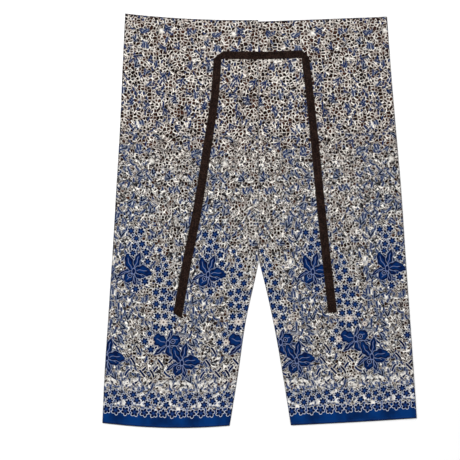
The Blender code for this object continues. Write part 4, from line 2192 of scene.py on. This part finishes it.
@dataclass
class Studio:
    """The pale floor, the soft light and the camera."""

    floor_size: float = 9.0
    floor_depth: float = 0.00005
    floor_colour: Colour = (0.90, 0.90, 0.90, 1.0)
    floor_grain: Colour = (0.92, 0.92, 0.92, 1.0)
    sky_strength: float = 0.695
    lamp_place: tuple[float, float, float] = (-0.9, 1.1, 2.6)
    lamp_size: float = 2.2
    lamp_power: float = 64.0
    target: tuple[float, float, float] = (-0.067, -0.0336, 0.003)
    distance: float = 1.9
    tilt: float = 0.1013
    lens: float = 64.23
    sensor: float = 36.0

    def floor(self) -> None:
        """Lay the floor with a faint paper texture."""
        bench = NodeBench("floor_paper")
        coordinates = bench.add("TexCoord")
        grain = bench.noise(coordinates.outputs["Object"], 60.0, 3.0)
        tone = bench.painted(self.floor_colour, self.floor_grain, grain)
        bench.feed(bench.shader.inputs["Base Color"], tone)
        bench.feed(bench.shader.inputs["Roughness"], 0.9)
        bench.feed(bench.shader.inputs["Specular IOR Level"], 0.1)
        half = self.floor_size / 2
        ways = ((-half, -half), (half, -half), (half, half), (-half, half))
        corners = np.array([(x, y, -self.floor_depth) for x, y in ways])
        floor = new_piece("floor", corners, np.array([(0, 1, 2, 3)]), bench.material)

    def light(self) -> None:
        """Set an even white sky and one large soft lamp."""
        world = bpy.data.worlds.new("soft_sky")
        world.use_nodes = True
        background = world.node_tree.nodes["Background"]
        background.inputs["Color"].default_value = (1.0, 1.0, 1.0, 1.0)
        background.inputs["Strength"].default_value = self.sky_strength
        bpy.context.scene.world = world
        lamp_data = bpy.data.lights.new("soft_lamp", "AREA")
        lamp_data.shape = "DISK"
        lamp_data.size = self.lamp_size
        lamp_data.energy = self.lamp_power
        lamp = bpy.data.objects.new("soft_lamp", lamp_data)
        lamp.location = self.lamp_place
        lamp.rotation_euler = (-Vector(self.lamp_place)).to_track_quat("-Z", "Y").to_euler()
        bpy.context.scene.collection.objects.link(lamp)

    def camera(self) -> None:
        """Set the camera where the photograph was taken from, nearly straight above."""
        data = bpy.data.cameras.new("camera")
        data.sensor_width = self.sensor
        data.lens = self.lens
        data.clip_start = 0.05
        data.clip_end = 50.0
        camera = bpy.data.objects.new("camera", data)
        camera.location = Vector(self.target) + Vector((0.0, -sin(self.tilt), cos(self.tilt))) * self.distance
        camera.rotation_euler = (self.tilt, 0.0, 0.0)
        bpy.context.scene.collection.objects.link(camera)
        bpy.context.scene.camera = camera

    def build(self) -> None:
        """Set up the whole studio with plain colour handling."""
        self.floor()
        self.light()
        self.camera()
        bpy.context.scene.view_settings.view_transform = "Standard"
        bpy.context.scene.view_settings.look = "None"


def report(piece: bpy.types.Object) -> None:
    """Log a piece's name, its faces and its size.

    Args:
        piece: the piece.
    """
    low, high = (Vector(piece.bound_box[i]) for i in (0, 6))
    size = [round(value * MM, 1) for value in high - low]
    log.info("%s: %d faces, %s mm", piece.name, len(piece.data.polygons), size)


def main() -> None:
    """Build the studio, the legs, the tie and the sewing, and report each piece."""
    logging.basicConfig(level=logging.INFO, format="%(name)s: %(message)s")
    Studio().build()
    cotton = PrintedCotton().material()
    blue_thread = SewingThread("blue_thread", (0.004, 0.018, 0.085, 1.0), (0.02, 0.05, 0.16, 1.0))
    brown_thread = SewingThread("brown_thread", (0.006, 0.003, 0.0025, 1.0), (0.018, 0.010, 0.008, 1.0))
    hems = Stitching("hem_stitches", blue_thread, "printed_cotton")
    waist = Stitching("waist_stitches", brown_thread, "printed_cotton")
    for leg in (LEFT_LEG, RIGHT_LEG):
        report(leg.build(cotton))
        hems.add(*leg.stitch_line(FORM.length - leg.hem_stitch))
        waist.add(*leg.stitch_line(leg.waist_stitch))
    report(hems.build())
    report(waist.build())
    tie = Tie()
    report(tie.build(TieCotton().material()))
    edges = Stitching("tie_stitches", brown_thread, "tie_cotton")
    shares = tie.shares() * tie.top_width
    for place in (tie.stitch_in, tie.top_width - tie.stitch_in):
        line = int(np.abs(shares - place).argmin())
        edges.add(tie.upper[:, line], tie.upper_normals[:, line])
    report(edges.build())


if __name__ == "__main__":
    main()
